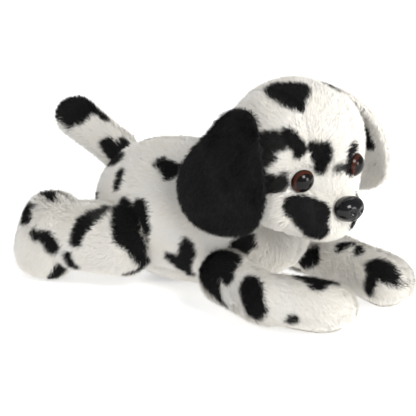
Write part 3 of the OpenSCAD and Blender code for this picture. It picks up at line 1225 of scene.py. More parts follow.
@dataclass
class Head(StuffedPart):
    """The round head with its muzzle and cheeks, in a frame at the middle of the head ball."""

    body: str = "head"
    cell: float = 1.9
    rounds: int = 9
    swell: float = 1.0
    yaw: float = -8.0
    radius: float = 33.6
    face_back: float = 23.5
    face_radius: float = 49.0
    gusset: float = 13.0
    eye_side: float = 18.4
    eye_ahead: float = 23.4
    eye_drop: float = 6.4
    eye_radius: float = 6.0
    eye_seat: float = 50.2
    nose_seat: float = 15.7
    nose_tilt: float = 15.0
    muzzle: Point = (20.5, 0.0, -25.5)
    seam_tilt: float = 28.0
    socket_width: float = 8.0
    socket_depth: float = 1.6

    def place(self) -> Matrix:
        """The head ball's middle, turned with the head."""
        return Matrix.Translation(pivot("head_nod")) @ Matrix.Rotation(
            math.radians(self.yaw), 4, "Z"
        )

    def blank(self) -> bmesh.types.BMesh:
        """The ball, the muzzle, the bridge of the nose and the cheeks."""
        bm = bmesh.new()
        add_ball(bm, (0, 0, 0), (self.radius,) * 3)
        add_ball(bm, (19.6, 0, -25.2), (15.2, 17.6, 14.6))
        add_ball(bm, (19.5, 0, -15.5), (13.5, 11.5, 10.0), (0, 18, 0))
        for side in Side:
            y = side.value
            add_ball(bm, (15, y * 9.5, -24.5), (14.5, 10.5, 12.8))
            add_ball(bm, (6, y * 15, -21), (15, 12.5, 12.5))
        return bm

    def sculpt(self, points: Array) -> Array:
        """Flattens the upper face, and sets the eyes in shallow hollows."""
        middle = np.array([-self.face_back, 0, 0])
        off = points - middle
        far = np.linalg.norm(off, axis=1, keepdims=True)
        flat = np.minimum(1, self.face_radius / far)
        upper = ramp(points[:, 2], -16, -8)[:, None]
        points = middle + off * (1 + (flat - 1) * upper)
        for side in Side:
            seat = np.array(self.eye_frame(side).translation)
            way = np.array(self.eye_frame(side).col[0][:3])
            near = np.exp(-((np.linalg.norm(points - seat, axis=1) / self.socket_width) ** 2))
            points = points - (self.socket_depth * near)[:, None] * way
        return points

    def eye_frame(self, side: Side) -> Matrix:
        """An eye's own frame, whose X axis leaves the face.

        Args:
            side: the eye's side.

        Returns:
            The frame, in the head's.
        """
        ahead, across = self.eye_ahead + self.face_back, side.value * self.eye_side
        turn = math.atan2(across, ahead)
        pitch = math.atan2(self.eye_drop, math.hypot(ahead, across))
        return (
            Matrix.Translation((-self.face_back, 0, 0))
            @ Matrix.Rotation(turn, 4, "Z")
            @ Matrix.Rotation(pitch, 4, "Y")
            @ Matrix.Translation((self.eye_seat, 0, 0))
        )

    def nose_frame(self) -> Matrix:
        """The nose's own frame, whose X axis leaves the muzzle."""
        return (
            Matrix.Translation(self.muzzle)
            @ Matrix.Rotation(-math.radians(self.nose_tilt), 4, "Y")
            @ Matrix.Translation((self.nose_seat, 0, 0))
        )

    def jaw_plane(self) -> tuple[Point, Point]:
        """The seam between the crown gusset and the chin."""
        tilt = math.radians(self.seam_tilt)
        normal = (math.sin(tilt), 0.0, math.cos(tilt))
        return tuple(-10.0 * n for n in normal), normal

    def seams(self) -> list[tuple[Point, Point]]:
        """The two seams beside the crown gusset and the one under the jaw."""
        return [
            ((0, self.gusset, 0), (0, 1, 0)),
            ((0, -self.gusset, 0), (0, 1, 0)),
            self.jaw_plane(),
        ]

    def panels(self) -> list[Panel]:
        """The crown gusset, the chin and the two sides of the face."""
        return [
            Panel("head_crown", ("crown_gusset", "head_filling")),
            Panel("head_chin", ("chin_panel",)),
            Panel("head_cheek_right", ("face_panel_right",)),
            Panel("head_cheek_left", ("face_panel_left",)),
        ]

    def above_jaw(self, points: Array) -> Array:
        """How far each point is over the jaw seam's plane."""
        point, normal = self.jaw_plane()
        return (points - np.array(point)) @ np.array(normal)

    def sort(self, points: Array) -> Array:
        """Crown, chin, right or left."""
        middle = np.where(self.above_jaw(points) > 0, 0, 1)
        beside = np.where(points[:, 1] < 0, 2, 3)
        return np.where(abs(points[:, 1]) < self.gusset, middle, beside)

    def seam_distance(self, points: Array) -> Array:
        """The jaw seam ends at the gusset's edges."""
        beside = abs(abs(points[:, 1]) - self.gusset)
        jaw = np.where(abs(points[:, 1]) < self.gusset, abs(self.above_jaw(points)), FAR)
        return np.minimum(beside, jaw)

    def growth(self, points: Array) -> Array:
        """Shorter on the muzzle, and none under the eyes, the nose or the neck."""
        length = 1 - 0.28 * ramp(points[:, 0] - 0.5 * points[:, 2], 22, 42)
        for side in Side:
            seat = np.array(self.eye_frame(side).translation)
            away = np.linalg.norm(points - seat, axis=1)
            length *= ramp(away, self.eye_radius - 1.4, self.eye_radius + 1.8)
        seat = np.array(self.nose_frame().translation)
        off = (points - seat) / (1, 1.25, 1)
        length *= ramp(np.linalg.norm(off, axis=1), 5.0, 7.6)
        down = unit(points) @ np.array(NECK_WAY)
        return length * (1 - ramp(down, 0.72, 0.8))

    def flow(self, points: Array) -> Array:
        """Away from the nose."""
        way = points - np.array(self.nose_frame().translation)
        return unit(way) + (0, 0, -0.25)


# The ear's rim about the middle of its lobe: degrees up from straight ahead, and millimetres.
EAR_TURNS = (
    -180, -166, -142, -124, -105, -81, -60, -36, 0, 31,
    55, 66, 80, 97, 107, 117, 135, 158, 180,
)
EAR_REACH = (
    27.9, 30.6, 33.2, 31.6, 28.6, 26.4, 27.3, 29.0, 28.8, 30.6,
    33.6, 36.0, 35.4, 32.6, 27.6, 23.8, 22.0, 23.6, 27.9,
)


@dataclass
class Ear(StuffedPart):
    """A flat flap that hangs from the head ball, in the head's frame."""

    side: Side = Side.RIGHT
    body: str = ""
    cell: float = 1.5
    rounds: int = 2
    swell: float = 0.6
    thickness: float = 0.5
    fill: float = 0.2
    flare: float = 0.0
    middle: tuple[float, float] = (-10.8, -9.2)
    half_thick: float = 1.15
    follow: float = 38.9
    hinge_z: float = 20.5
    head: Head = field(default_factory=Head)

    def place(self) -> Matrix:
        """The head's frame."""
        return self.head.place()

    def reach(self, angle: Array) -> Array:
        """How far the rim is from the middle of the lobe.

        Args:
            angle: the direction in the ear's plane, in degrees from ahead.

        Returns:
            The distance in millimetres.
        """
        return np.interp(angle, EAR_TURNS, EAR_REACH)

    def blank(self) -> bmesh.types.BMesh:
        """A flat round cushion, drawn out to the ear's outline."""
        bm = bmesh.new()
        bmesh.ops.create_uvsphere(bm, u_segments=72, v_segments=40, radius=1)
        bm.transform(Matrix.Rotation(math.radians(90), 4, "X"))
        for vert in bm.verts:
            x, y, z = vert.co
            share = math.hypot(x, z)
            angle = math.degrees(math.atan2(z, x))
            reach = float(self.reach(np.array([angle]))[0])
            thick = self.half_thick * math.copysign(abs(y) ** 0.5, y)
            vert.co = (
                self.middle[0] + x * reach,
                thick,
                self.middle[1] + z * reach,
            )
            if share < 1e-6:
                vert.co.x, vert.co.z = self.middle
        return bm

    def sculpt(self, points: Array) -> Array:
        """Bends the flap round the head ball, down to its widest, and flares it."""
        height = np.clip(points[:, 2], 0, self.follow - 1)
        turn = np.arcsin(height / self.follow)
        radius = self.follow + points[:, 1]
        out = radius * np.cos(turn)
        hang = np.where(points[:, 2] > 0, radius * np.sin(turn), points[:, 2])
        ripple = 1.2 * np.sin(points[:, 0] / 8.5) * ramp(-points[:, 2], -5, 25)
        points = np.stack([points[:, 0], out + ripple * 0.6, hang], axis=1)
        flare = math.radians(self.flare)
        hinge = np.array([0, math.sqrt(self.follow**2 - self.hinge_z**2), self.hinge_z])
        off = points - hinge
        y = off[:, 1] * math.cos(flare) - off[:, 2] * math.sin(flare)
        z = off[:, 1] * math.sin(flare) + off[:, 2] * math.cos(flare)
        points = hinge + np.stack([off[:, 0], y, z], axis=1)
        points[:, 1] *= self.side.value
        return points

    def skin(self) -> bpy.types.Object:
        """The flap needs no melting: it is one closed form already."""
        made = finished(self.blank(), f"{self.body}_form")
        move_points(made.data, self.sculpt(points_of(made.data)))
        bm = bmesh.new()
        bm.from_mesh(made.data)
        bmesh.ops.recalc_face_normals(bm, faces=bm.faces)
        smoothed(bm, self.rounds)
        self.outer = [f.normal.y * self.side.value > 0 for f in bm.faces]
        bm.to_mesh(made.data)
        bm.free()
        return made

    def seams(self) -> list[tuple[Point, Point]]:
        """The rim is the only seam, and the faces are told apart by their normals."""
        return []

    def panels(self) -> list[Panel]:
        """The outer layer and the lining."""
        slot = "black_pile" if self.side is Side.RIGHT else "spotted_pile"
        return [
            Panel(f"{self.body}_lobe", (f"{self.body}_outer",), slot),
            Panel(f"{self.body}_underside", (f"{self.body}_lining",), slot),
        ]

    def sort(self, points: Array) -> Array:
        """Outer or lining."""
        return np.where(self.outer, 0, 1)

    def parting(self, points: Array) -> Array:
        """The pile closes over the rim."""
        return np.ones(len(points))

    def flow(self, points: Array) -> Array:
        """Down the ear."""
        return np.tile((-0.25, 0.0, -1.0), (len(points), 1))


@dataclass
class Tail(StuffedPart):
    """The tail, in a frame at its root whose X axis runs along it."""

    body: str = "tail"
    cell: float = 1.8
    swell: float = 0.8
    up: float = 24.0
    beads: tuple[tuple[float, float], ...] = ((0, 8.8), (12, 8.0), (24, 8.4), (34.4, 8.8))

    def place(self) -> Matrix:
        """The tail's root, with X along the tail."""
        turn = Matrix.Rotation(math.radians(self.up - 180), 4, "Y")
        return Matrix.Translation(pivot("tail_wag")) @ turn

    def blank(self) -> bmesh.types.BMesh:
        """A round rod with a blunt end."""
        bm = bmesh.new()
        add_chain(bm, [((x, 0, 0), r) for x, r in self.beads])
        return bm

    def seams(self) -> list[tuple[Point, Point]]:
        """The seam down the middle."""
        return [((0, 0, 0), (0, 1, 0))]

    def panels(self) -> list[Panel]:
        """The two halves."""
        return [
            Panel("tail_half_right", ("tail_panel_right", "tail_filling")),
            Panel("tail_half_left", ("tail_panel_left",)),
        ]

    def sort(self, points: Array) -> Array:
        """Right or left."""
        return np.where(points[:, 1] < 0, 0, 1)

    def growth(self, points: Array) -> Array:
        """None on the ball that sits in the torso."""
        return ramp(points[:, 0], -3, 2)

    def flow(self, points: Array) -> Array:
        """To the tail's tip."""
        return np.tile((1.0, 0.0, 0.0), (len(points), 1))


@dataclass
class Leg(StuffedPart):
    """A leg, cut into an outer half, an inner half and a sole."""

    side: Side = Side.RIGHT
    body: str = ""

    def panels(self) -> list[Panel]:
        """The outer half, the inner half and the sole."""
        name = self.body
        return [
            Panel(f"{name}_outer", (f"{name}_outer_panel", f"{name}_filling")),
            Panel(f"{name}_inner", (f"{name}_inner_panel", f"{name}_pellet_pouch")),
            Panel(f"{name}_pad", (f"{name}_sole",)),
        ]


@dataclass
class Foreleg(Leg):
    """A foreleg, in a frame at the shoulder ball that is turned like the CAD frame."""

    cell: float = 1.8
    swell: float = 0.9
    elbow_out: float = 16.0
    elbow_bend: float = 42.0
    shoulder_height: float = 19.0
    upper: float = 27.5
    paw_tip: float = 45.5
    floor: float = 1.0
    sole_height: float = 4.4
    sole_from: float = 32.0

    def place(self) -> Matrix:
        """The shoulder ball's middle."""
        return Matrix.Translation(pivot(f"{self.body}_spread"))

    def path(self, along: float) -> Vector:
        """A point on the leg's middle line.

        Args:
            along: the distance from the shoulder ball's middle.

        Returns:
            The point in the part's own frame.
        """
        out = math.radians(self.elbow_out) * self.side.value
        bend = -math.radians(self.elbow_bend) * self.side.value
        first = Vector((math.cos(out), math.sin(out), -0.11))
        then = Vector((math.cos(out + bend), math.sin(out + bend), -0.075))
        return first * min(along, self.upper) + then * max(along - self.upper, 0)

    def blank(self) -> bmesh.types.BMesh:
        """Shoulder, upper leg, elbow, forearm and a long round paw."""
        bm = bmesh.new()
        end = self.upper + self.paw_tip
        beads = [
            (0.0, 12.9), (12.0, 11.9), (self.upper, 11.6), (self.upper + 12, 11.8),
            (self.upper + 22, 12.6), (self.upper + 30, 12.5), (end - 11.2, 11.2),
        ]
        add_chain(bm, [(tuple(self.path(along)), radius) for along, radius in beads])
        return bm

    def sculpt(self, points: Array) -> Array:
        """Presses the leg flat where it lies on the surface."""
        return held_to(points, (0, 0, self.floor - self.shoulder_height), (0, 0, -1))

    def settle(self, points: Array) -> Array:
        """Keeps the sole flat and gathers the seam round it."""
        points = self.sculpt(points)
        height = points[:, 2] + self.shoulder_height
        round_sole = np.exp(-(((height - self.sole_height - 1.6) / 2.2) ** 2))
        round_sole *= ramp(points[:, 0], self.sole_from, self.sole_from + 16)
        middle = np.array(self.path(self.upper + 26))
        off = points - middle
        off[:, 2] = 0
        gathers = np.sin(np.arctan2(off[:, 1], off[:, 0]) * 26 + 0.8 * GRAIN.at(points, 9))
        depth = round_sole * (0.7 - 0.7 * gathers)
        return points - depth[:, None] * unit(off)

    def seam_turn(self) -> float:
        """The direction of the seam between the outer and the inner panel, in radians."""
        share = self.paw_tip / (self.upper + self.paw_tip)
        return math.radians(self.elbow_out - self.elbow_bend * share) * self.side.value

    def seams(self) -> list[tuple[Point, Point]]:
        """The seam over the leg, and the seam round the sole."""
        turn = self.seam_turn()
        return [
            ((0, 0, 0), (-math.sin(turn), math.cos(turn), 0)),
            ((0, 0, self.sole_height - self.shoulder_height), (0, 0, 1)),
            ((self.sole_from, 0, 0), (1, 0, 0)),
        ]

    def outward(self, points: Array) -> Array:
        """How far each point is outside the seam over the leg."""
        turn = self.seam_turn()
        across = -points[:, 0] * math.sin(turn) + points[:, 1] * math.cos(turn)
        return across * self.side.value

    def in_sole(self, points: Array) -> Array:
        """Whether each point is in the sole."""
        low = points[:, 2] < self.sole_height - self.shoulder_height
        return low & (points[:, 0] > self.sole_from)

    def seam_distance(self, points: Array) -> Array:
        """The sole's seam runs only round the sole."""
        front = points[:, 0] > self.sole_from
        height = points[:, 2] + self.shoulder_height - self.sole_height
        return np.minimum(abs(self.outward(points)), np.where(front, abs(height), FAR))

    def sort(self, points: Array) -> Array:
        """Outer, inner or sole."""
        sides = np.where(self.outward(points) > 0, 0, 1)
        return np.where(self.in_sole(points), 2, sides)

    def growth(self, points: Array) -> Array:
        """None on the shoulder ball's inner side, and short round the gathered sole."""
        height = points[:, 2] + self.shoulder_height
        inward = -unit(points)[:, 1] * self.side.value
        in_torso = ramp(inward, 0.45, 0.7) * (np.linalg.norm(points, axis=1) < 15)
        low = ramp(height, 1.5, 5.0)
        gathered = np.exp(-(((height - self.sole_height - 1.0) / 3.0) ** 2))
        gathered *= ramp(points[:, 0], self.sole_from, self.sole_from + 18)
        return (1 - in_torso) * (0.3 + 0.7 * low) * (1 - 0.75 * gathered)

    def flow(self, points: Array) -> Array:
        """To the paw and a little down."""
        return np.tile((1.0, 0.1 * self.side.value, -0.3), (len(points), 1))


@dataclass
class HindLeg(Leg):
    """A hind leg and its upturned foot, in a frame at the hip ball.

    Its X axis runs level from the hip to the foot.
    """

    cell: float = 2.0
    rounds: int = 4
    swell: float = 1.1
    out: float = 17.0
    hip_height: float = 25.0
    reach: float = 44.0
    foot_lean: float = 14.0
    foot_height: float = 45.0
    sole_back: float = 14.2
    sole_seam: float = 1.6
    floor: float = 1.0

    def place(self) -> Matrix:
        """The hip ball's middle, with X to the foot."""
        turn = math.radians(180 - self.side.value * self.out)
        return Matrix.Translation(pivot(f"{self.body}_spread")) @ Matrix.Rotation(turn, 4, "Z")

    def foot_point(self, ahead: float, up: float) -> Point:
        """A point of the foot's own frame, which leans, in the part's."""
        lean = math.radians(self.foot_lean)
        return (
            self.reach + ahead * math.cos(lean) - up * math.sin(lean),
            0.0,
            -self.hip_height + ahead * math.sin(lean) + up * math.cos(lean),
        )

    def sole_plane(self) -> tuple[Point, Point]:
        """The flat sole."""
        lean = math.radians(self.foot_lean)
        return self.foot_point(self.sole_back, 0), (math.cos(lean), 0.0, math.sin(lean))

    def blank(self) -> bmesh.types.BMesh:
        """Thigh, lower leg and a blunt upright foot."""
        bm = bmesh.new()
        add_chain(bm, [((0, 0, 0), 16.9), ((20, 0, -1.0), 16.0), ((38, 0, -2.0), 13.5)])
        add_chain(
            bm,
            [
                (self.foot_point(0, 14.6), 14.0),
                (self.foot_point(0.5, 24), 15.4),
                (self.foot_point(0, self.foot_height - 15.4), 14.6),
            ],
        )
        add_ball(bm, self.foot_point(6, 22), (12.5, 14.8, 20.6), (0, -self.foot_lean, 0))
        return bm

    def sculpt(self, points: Array) -> Array:
        """Flattens the sole and whatever lies on the surface."""
        points = held_to(points, *self.sole_plane())
        return held_to(points, (0, 0, self.floor - self.hip_height), (0, 0, -1))

    def settle(self, points: Array) -> Array:
        """Keeps the flat parts flat."""
        return self.sculpt(points)

    def behind_sole(self, points: Array) -> Array:
        """How far each point is past the seam round the sole."""
        point, normal = self.sole_plane()
        return (points - np.array(point)) @ np.array(normal) + self.sole_seam

    def seams(self) -> list[tuple[Point, Point]]:
        """The seam down the middle and the seam round the sole."""
        point, normal = self.sole_plane()
        moved = tuple(p - self.sole_seam * n for p, n in zip(point, normal))
        return [((0, 0, 0), (0, 1, 0)), (moved, normal)]

    def seam_distance(self, points: Array) -> Array:
        """The middle seam stops at the sole."""
        past = self.behind_sole(points)
        middle = np.where(past < 0, abs(points[:, 1]), FAR)
        return np.minimum(middle, abs(past))

    def sort(self, points: Array) -> Array:
        """Outer, inner or sole."""
        outer = points[:, 1] * self.side.value < 0
        return np.where(self.behind_sole(points) > 0, 2, np.where(outer, 0, 1))

    def growth(self, points: Array) -> Array:
        """None on the hip ball's inner side, and short on the sole and below."""
        height = points[:, 2] + self.hip_height
        inward = unit(points)[:, 1] * self.side.value
        in_torso = ramp(inward, 0.45, 0.7) * (np.linalg.norm(points, axis=1) < 18.5)
        sole = ramp(self.behind_sole(points), -1.5, 1.5)
        return (1 - in_torso) * (0.3 + 0.7 * ramp(height, 1.5, 6.0)) * (1 - 0.45 * sole)

    def flow(self, points: Array) -> Array:
        """Down the leg and up the foot."""
        up = ramp(points[:, 0], 24, 40)[:, None]
        return (1 - up) * (1.0, 0.0, -0.35) + up * (0.1, 0.0, -1.0)


# Hard parts and the neck


@dataclass
class Eye:
    """A round safety eye."""

    side: Side
    head: Head
    radius: float = 6.0
    height: float = 4.4
    skirt: float = 0.7
    shank: float = 2.0
    shank_length: float = 9.0
    steps: int = 64
    gaze: tuple[float, float] = (-0.03, 0.03)

    def build(self, finish: bpy.types.Material) -> None:
        """Makes the eye in place of its CAD node."""
        ball = (self.radius**2 + self.height**2) / (2 * self.height)
        arc = math.asin(self.radius / ball)
        cap = [
            (self.height - ball + ball * math.cos(arc * i / 18), ball * math.sin(arc * i / 18))
            for i in range(19)
        ]
        cap[0] = (self.height, 0.0)
        back = [
            (-self.skirt, self.radius - 0.25),
            (-self.skirt, self.shank),
            (-self.shank_length, self.shank),
            (-self.shank_length, 0.0),
        ]
        bm = spun(cap + back, self.steps)
        out, up = self.gaze
        radii = [
            math.hypot(v.co.y / self.radius - self.side.value * out, v.co.z / self.radius - up)
            for v in bm.verts
        ]
        frame_now = self.head.place() @ self.head.eye_frame(self.side)
        made = finished(bm, f"eye_{self.side.word}_cap", frame_now)
        mark(made.data, "radius", np.array(radii))
        made.data.materials.append(finish)
        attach(made, "head")
        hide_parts(f"eye_{self.side.word}")
        LOG.info("%s: %d faces", made.name, len(made.data.polygons))


@dataclass
class Nose:
    """The glossy nose with its two nostrils."""

    head: Head
    width: float = 16.0
    height: float = 12.5
    depth: float = 8.0
    shank: float = 2.0
    shank_length: float = 9.0

    def build(self, finish: bpy.types.Material) -> None:
        """Makes the nose in place of its CAD node."""
        bm = bmesh.new()
        bmesh.ops.create_uvsphere(bm, u_segments=64, v_segments=48, radius=1)
        bm.transform(Matrix.Rotation(math.radians(90), 4, "Y"))
        bmesh.ops.bisect_plane(
            bm,
            geom=bm.verts[:] + bm.edges[:] + bm.faces[:],
            plane_co=(-0.12, 0, 0),
            plane_no=(1, 0, 0),
            clear_inner=True,
        )
        rim = [e for e in bm.edges if e.is_boundary]
        bmesh.ops.edgeloop_fill(bm, edges=rim)
        for vert in bm.verts:
            self.shape(vert)
        bmesh.ops.recalc_face_normals(bm, faces=bm.faces)
        stem = Matrix.Translation((-self.shank_length / 2, 0, 0))
        bmesh.ops.create_cone(
            bm,
            cap_ends=True,
            segments=24,
            radius1=self.shank,
            radius2=self.shank,
            depth=self.shank_length,
            matrix=stem @ Matrix.Rotation(math.radians(90), 4, "Y"),
        )
        place = self.head.place() @ self.head.nose_frame()
        made = finished(bm, "nose_button", place)
        made.data.materials.append(finish)
        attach(made, "head")
        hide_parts("nose")
        LOG.info("%s: %d faces", made.name, len(made.data.polygons))

    def shape(self, vert: bmesh.types.BMVert) -> None:
        """Draws a vertex of a ball out to the nose, and in for a nostril."""
        x, y, z = vert.co
        wider = 1 + 0.10 * z
        y, z = y * wider * self.width / 2, z * self.height / 2
        x = self.depth * math.copysign(abs(x) ** 0.8, x) * 0.92
        for side in Side:
            off = math.hypot((y - side.value * 3.1) / 1.5, (z + 1.6) / 1.15)
            if x > 0:
                x -= 1.5 * math.exp(-(off**2))
        groove = math.exp(-((y / 0.5) ** 2)) * (1 if z < -1.5 else 0)
        vert.co = (x - 0.35 * groove * (x > 0), y, z)


@dataclass
class NeckLining:
    """The bowl of knitted cloth between the torso and the head."""

    lean: float = 40.0
    half_angle: float = 40.0
    inner: float = 36.3
    outer: float = 38.0

    def build(self, finish: bpy.types.Material) -> None:
        """Makes the bowl in place of its CAD node."""
        steps = 16
        angles = [math.radians(self.half_angle * i / steps) for i in range(steps + 1)]
        out = [(self.outer * math.cos(a), self.outer * math.sin(a)) for a in angles]
        back = [(self.inner * math.cos(a), self.inner * math.sin(a)) for a in angles]
        bm = spun([(x, r) for x, r in out + back[::-1]], 48)
        # The bowl's own axis points from the head ball's middle back and down.
        turn = Matrix.Rotation(math.radians(90 + self.lean), 4, "Y")
        made = finished(bm, "neck_bowl", Matrix.Translation(pivot("head_nod")) @ turn)
        made.data.materials.append(finish)
        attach(made, "neck")
        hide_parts("neck_lining")
        LOG.info("%s: %d faces", made.name, len(made.data.polygons))


# Studio


@dataclass
class Studio:
    """Camera, lights and a pale floor."""

    azimuth: float = 38.0
    elevation: float = 19.0
    distance: float = 1.6
    target: Point = (-8.0, 0.0, 38.5)
    span: float = 208.0

    def build(self) -> None:
        """Makes the camera, the lights, the world and the floor."""
        scene = bpy.context.scene
        scene.view_settings.view_transform = "Standard"
        a, e = math.radians(self.azimuth), math.radians(self.elevation)
        back = Vector((math.sin(a) * math.cos(e), -math.cos(a) * math.cos(e), math.sin(e)))
        data = bpy.data.cameras.new("camera")
        data.lens = data.sensor_width * self.distance / (self.span * MM)
        camera = bpy.data.objects.new("camera", data)
        camera.location = Vector(self.target) * MM + back * self.distance
        camera.rotation_euler = (-back).to_track_quat("-Z", "Y").to_euler()
        scene.collection.objects.link(camera)
        scene.camera = camera
        self.light("key", (0.80, -0.30, 0.75), 0.40, 8.6, (1.0, 0.985, 0.955))
        self.light("low", (0.95, 0.10, 0.26), 0.35, 3.4, (1.0, 0.985, 0.95))
        self.light("fill", (-0.75, -0.60, 0.45), 0.6, 2.6, (0.985, 0.99, 1.0))
        self.light("back", (-0.35, 0.65, 0.8), 0.6, 1.6, (0.96, 0.98, 1.0))
        self.world()
        self.floor()

    @staticmethod
    def light(name: str, place: Point, size: float, power: float, colour: Point) -> None:
        """Adds a square soft light that shines on the toy.

        Args:
            name: its name.
            place: where it hangs, in metres.
            size: its width in metres.
            power: its power in watts.
            colour: its colour.
        """
        data = bpy.data.lights.new(name, "AREA")
        data.size, data.energy, data.color = size, power, colour
        made = bpy.data.objects.new(name, data)
        made.location = place
        aim = Vector((0, 0, 0.04)) - Vector(place)
        made.rotation_euler = aim.to_track_quat("-Z", "Y").to_euler()
        bpy.context.scene.collection.objects.link(made)

    @staticmethod
    def world() -> None:
        """A plain white surround."""
        world = bpy.data.worlds.new("surround")
        world.use_nodes = True
        shade = world.node_tree.nodes["Background"]
        shade.inputs["Color"].default_value = (1, 1, 1, 1)
        shade.inputs["Strength"].default_value = 0.34
        bpy.context.scene.world = world

    @staticmethod
    def floor() -> None:
        """A wide pale floor."""
        bm = bmesh.new()
        bmesh.ops.create_grid(bm, x_segments=1, y_segments=1, size=6000)
        made = finished(bm, "floor")
        g = Graph("floor_paper")
        g.constants(Roughness=0.9, Emission_Strength=0.52)
        g.shader.inputs["Base Color"].default_value = (0.93, 0.93, 0.93, 1)
        g.shader.inputs["Emission Color"].default_value = (1, 1, 1, 1)
        made.data.materials.append(g.material)
        made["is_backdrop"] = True


# The toy's own coat and sizes

TORSO_SPOTS = (
    Blot((-50, 6, 66.5), (-46, 8.5, 66.5), 3.0, 2.5),
    Blot((-22, -20, 65.5), (-12, -23, 64), 2.2, 4.5),
    Blot((-59, -12.5, 57.5), (-52.5, -15, 59), 3.5, 3.5),
    Blot((-43, -25, 56.5), (-42.5, -29.5, 50.5), 1.8, 1.6),
    Blot((-23.5, -34.5, 45), (-21, -36, 36), 4.3, 4.3),
    Blot((-33, -33, 42), (-24, -36, 31), 4.6, 5.6),
    Blot((6, -33.5, 31), (3, -32, 22.5), 3.4, 3.8),
    Blot((-6, -32.5, 21.5), (-0.5, -31, 19.5), 2.4, 3.5),
    Blot((-0.5, -31, 20.5), (0, -25.5, 13.5), 3.6, 2.4),
    Blot((31.5, -26, 33), (35.5, -24.5, 36.5), 4.2, 3.6),
    Blot((-60.5, -24.5, 40.5), (-60, -24.5, 39), 1.8, 1.6),
    Blot((-8, 36, 40), (2, 37, 35), 6.0, 4.5),
    Blot((-32, 29, 57), (-25, 32, 53), 4.0, 3.0),
    Blot((17, 30, 49), (22, 30, 44), 3.5, 2.8),
    Blot((-57, 17, 54), (-55, 19, 49), 3.6, 3.0),
    Blot((-14, 9, 72), (-8, 13, 71), 4.0, 3.2),
    Blot((4, -9, 71), (9, -5, 72), 3.5, 3.0),
    Blot((-69, 4, 40), (-68, 9, 36), 4.2, 3.2),
    Blot((-68, -11, 27), (-66, -15, 24), 3.6, 3.0),
    Blot((8, 8, 1), (16, 6, 2), 6.0, 4.0),
    Blot((-30, -12, 1), (-24, -8, 1), 5.0, 4.0),
    Blot((-20, 18, 2), (-16, 22, 4), 4.0, 3.5),
)
HEAD_SPOTS = (
    Blot((43, -14.5, 113.5), (55.5, -11, 114), 4.0, 5.4),
    Blot((49, -16, 112.5), (58.5, -17.5, 109.5), 4.8, 4.0),
    Blot((55.5, 12.5, 110.5), (57.5, 18, 106.5), 2.8, 3.6),
    Blot((55, -35, 93.5), (61, -32.5, 94.5), 4.8, 4.0, 1.0, 0.99),
    Blot((54.5, -37, 86), (58.5, -35.5, 88), 3.2, 1.8, 1.2, 0.98),
    Blot((63, -29, 98), (67.5, -26, 91), 2.2, 3.2),
    Blot((70.5, -19, 91), (73.5, -14.5, 86), 1.4, 5.2),
    Blot((73.5, -14, 86.5), (73.5, -15.5, 80), 5.0, 2.8),
    Blot((74, 7, 81.5), (75.5, 5, 75.5), 4.2, 4.0),
    Blot((75.5, -6, 77), (76, 3.5, 75.5), 1.1, 1.9, 1.0, 0.96),
    Blot((56.5, -36, 74), (62, -33.5, 74.5), 3.9, 3.5, 0.8, 0.99),
    Blot((62.5, -33.5, 75.5), (64, -32, 79), 2.5, 1.2, 1.0, 0.98),
    Blot((67.5, -27, 61.5), (74.5, -21.5, 59), 5.6, 5.8),
    Blot((72, -23.5, 56), (73.5, -20.5, 50.5), 6.8, 5.6),
    Blot((82.5, 4.5, 60), (82, 1.5, 50), 3.6, 3.8),
    Blot((52, 30, 92), (60, 26, 88), 5.0, 3.8),
    Blot((63, 25, 61), (67, 20, 56), 5.8, 4.2),
    Blot((17, 2, 93), (21, -5, 99), 5.0, 4.0),
    Blot((37, 12, 113), (42, 15, 112), 4.0, 3.4),
    Blot((24, 20, 84), (26, 22, 78), 3.8, 3.2),
    Blot((60, 2, 42), (65, 5, 42), 3.6, 2.8),
)
TAIL_SPOTS = (
    Blot((-94, -2, 76), (-89.5, -2, 72.5), 9.2, 8.4),
    Blot((-66, -8.5, 62.5), (-60, -11, 58), 2.4, 3.4),
    Blot((-58, -4, 64), (-58, -9.5, 60), 2.4, 3.2),
    Blot((-80, 1, 74), (-75.5, 1, 72), 1.6, 1.6),
    Blot((-80, 5, 60.5), (-75, 6, 59), 3.6, 2.8),
)
LEFT_EAR_SPOTS = (
    Blot((59.5, 37, 82.5), (61.5, 38.5, 77), 2.6, 3.0),
    Blot((44, 42, 92), (48, 43, 86), 4.6, 3.6),
    Blot((31, 47, 70), (34, 48, 64), 4.0, 3.2),
)
FORELEG_RIGHT_SPOTS = (
    Blot((21, -38, 28), (31.5, -36, 31), 6.6, 6.0),
    Blot((20.5, -41, 26), (28.5, -45, 17.5), 4.8, 3.0),
    Blot((34, -36.5, 31), (37.5, -44, 25.5), 4.2, 3.0),
    Blot((27, -42, 25), (31, -44.5, 18), 5.0, 3.6),
    Blot((52.5, -46.5, 25), (59, -49.5, 15), 4.6, 4.2),
    Blot((69, -25, 27), (79, -28, 26.5), 3.8, 4.2),
    Blot((79, -27, 27), (84, -20, 25.5), 3.0, 1.4),
    Blot((74.5, -42, 11), (75.5, -42, 11), 1.7, 1.4),
    Blot((33, -44, 11), (36, -44, 9.5), 1.3, 1.2),
    Blot((58, -20, 18), (63, -18, 14), 3.2, 2.6),
)
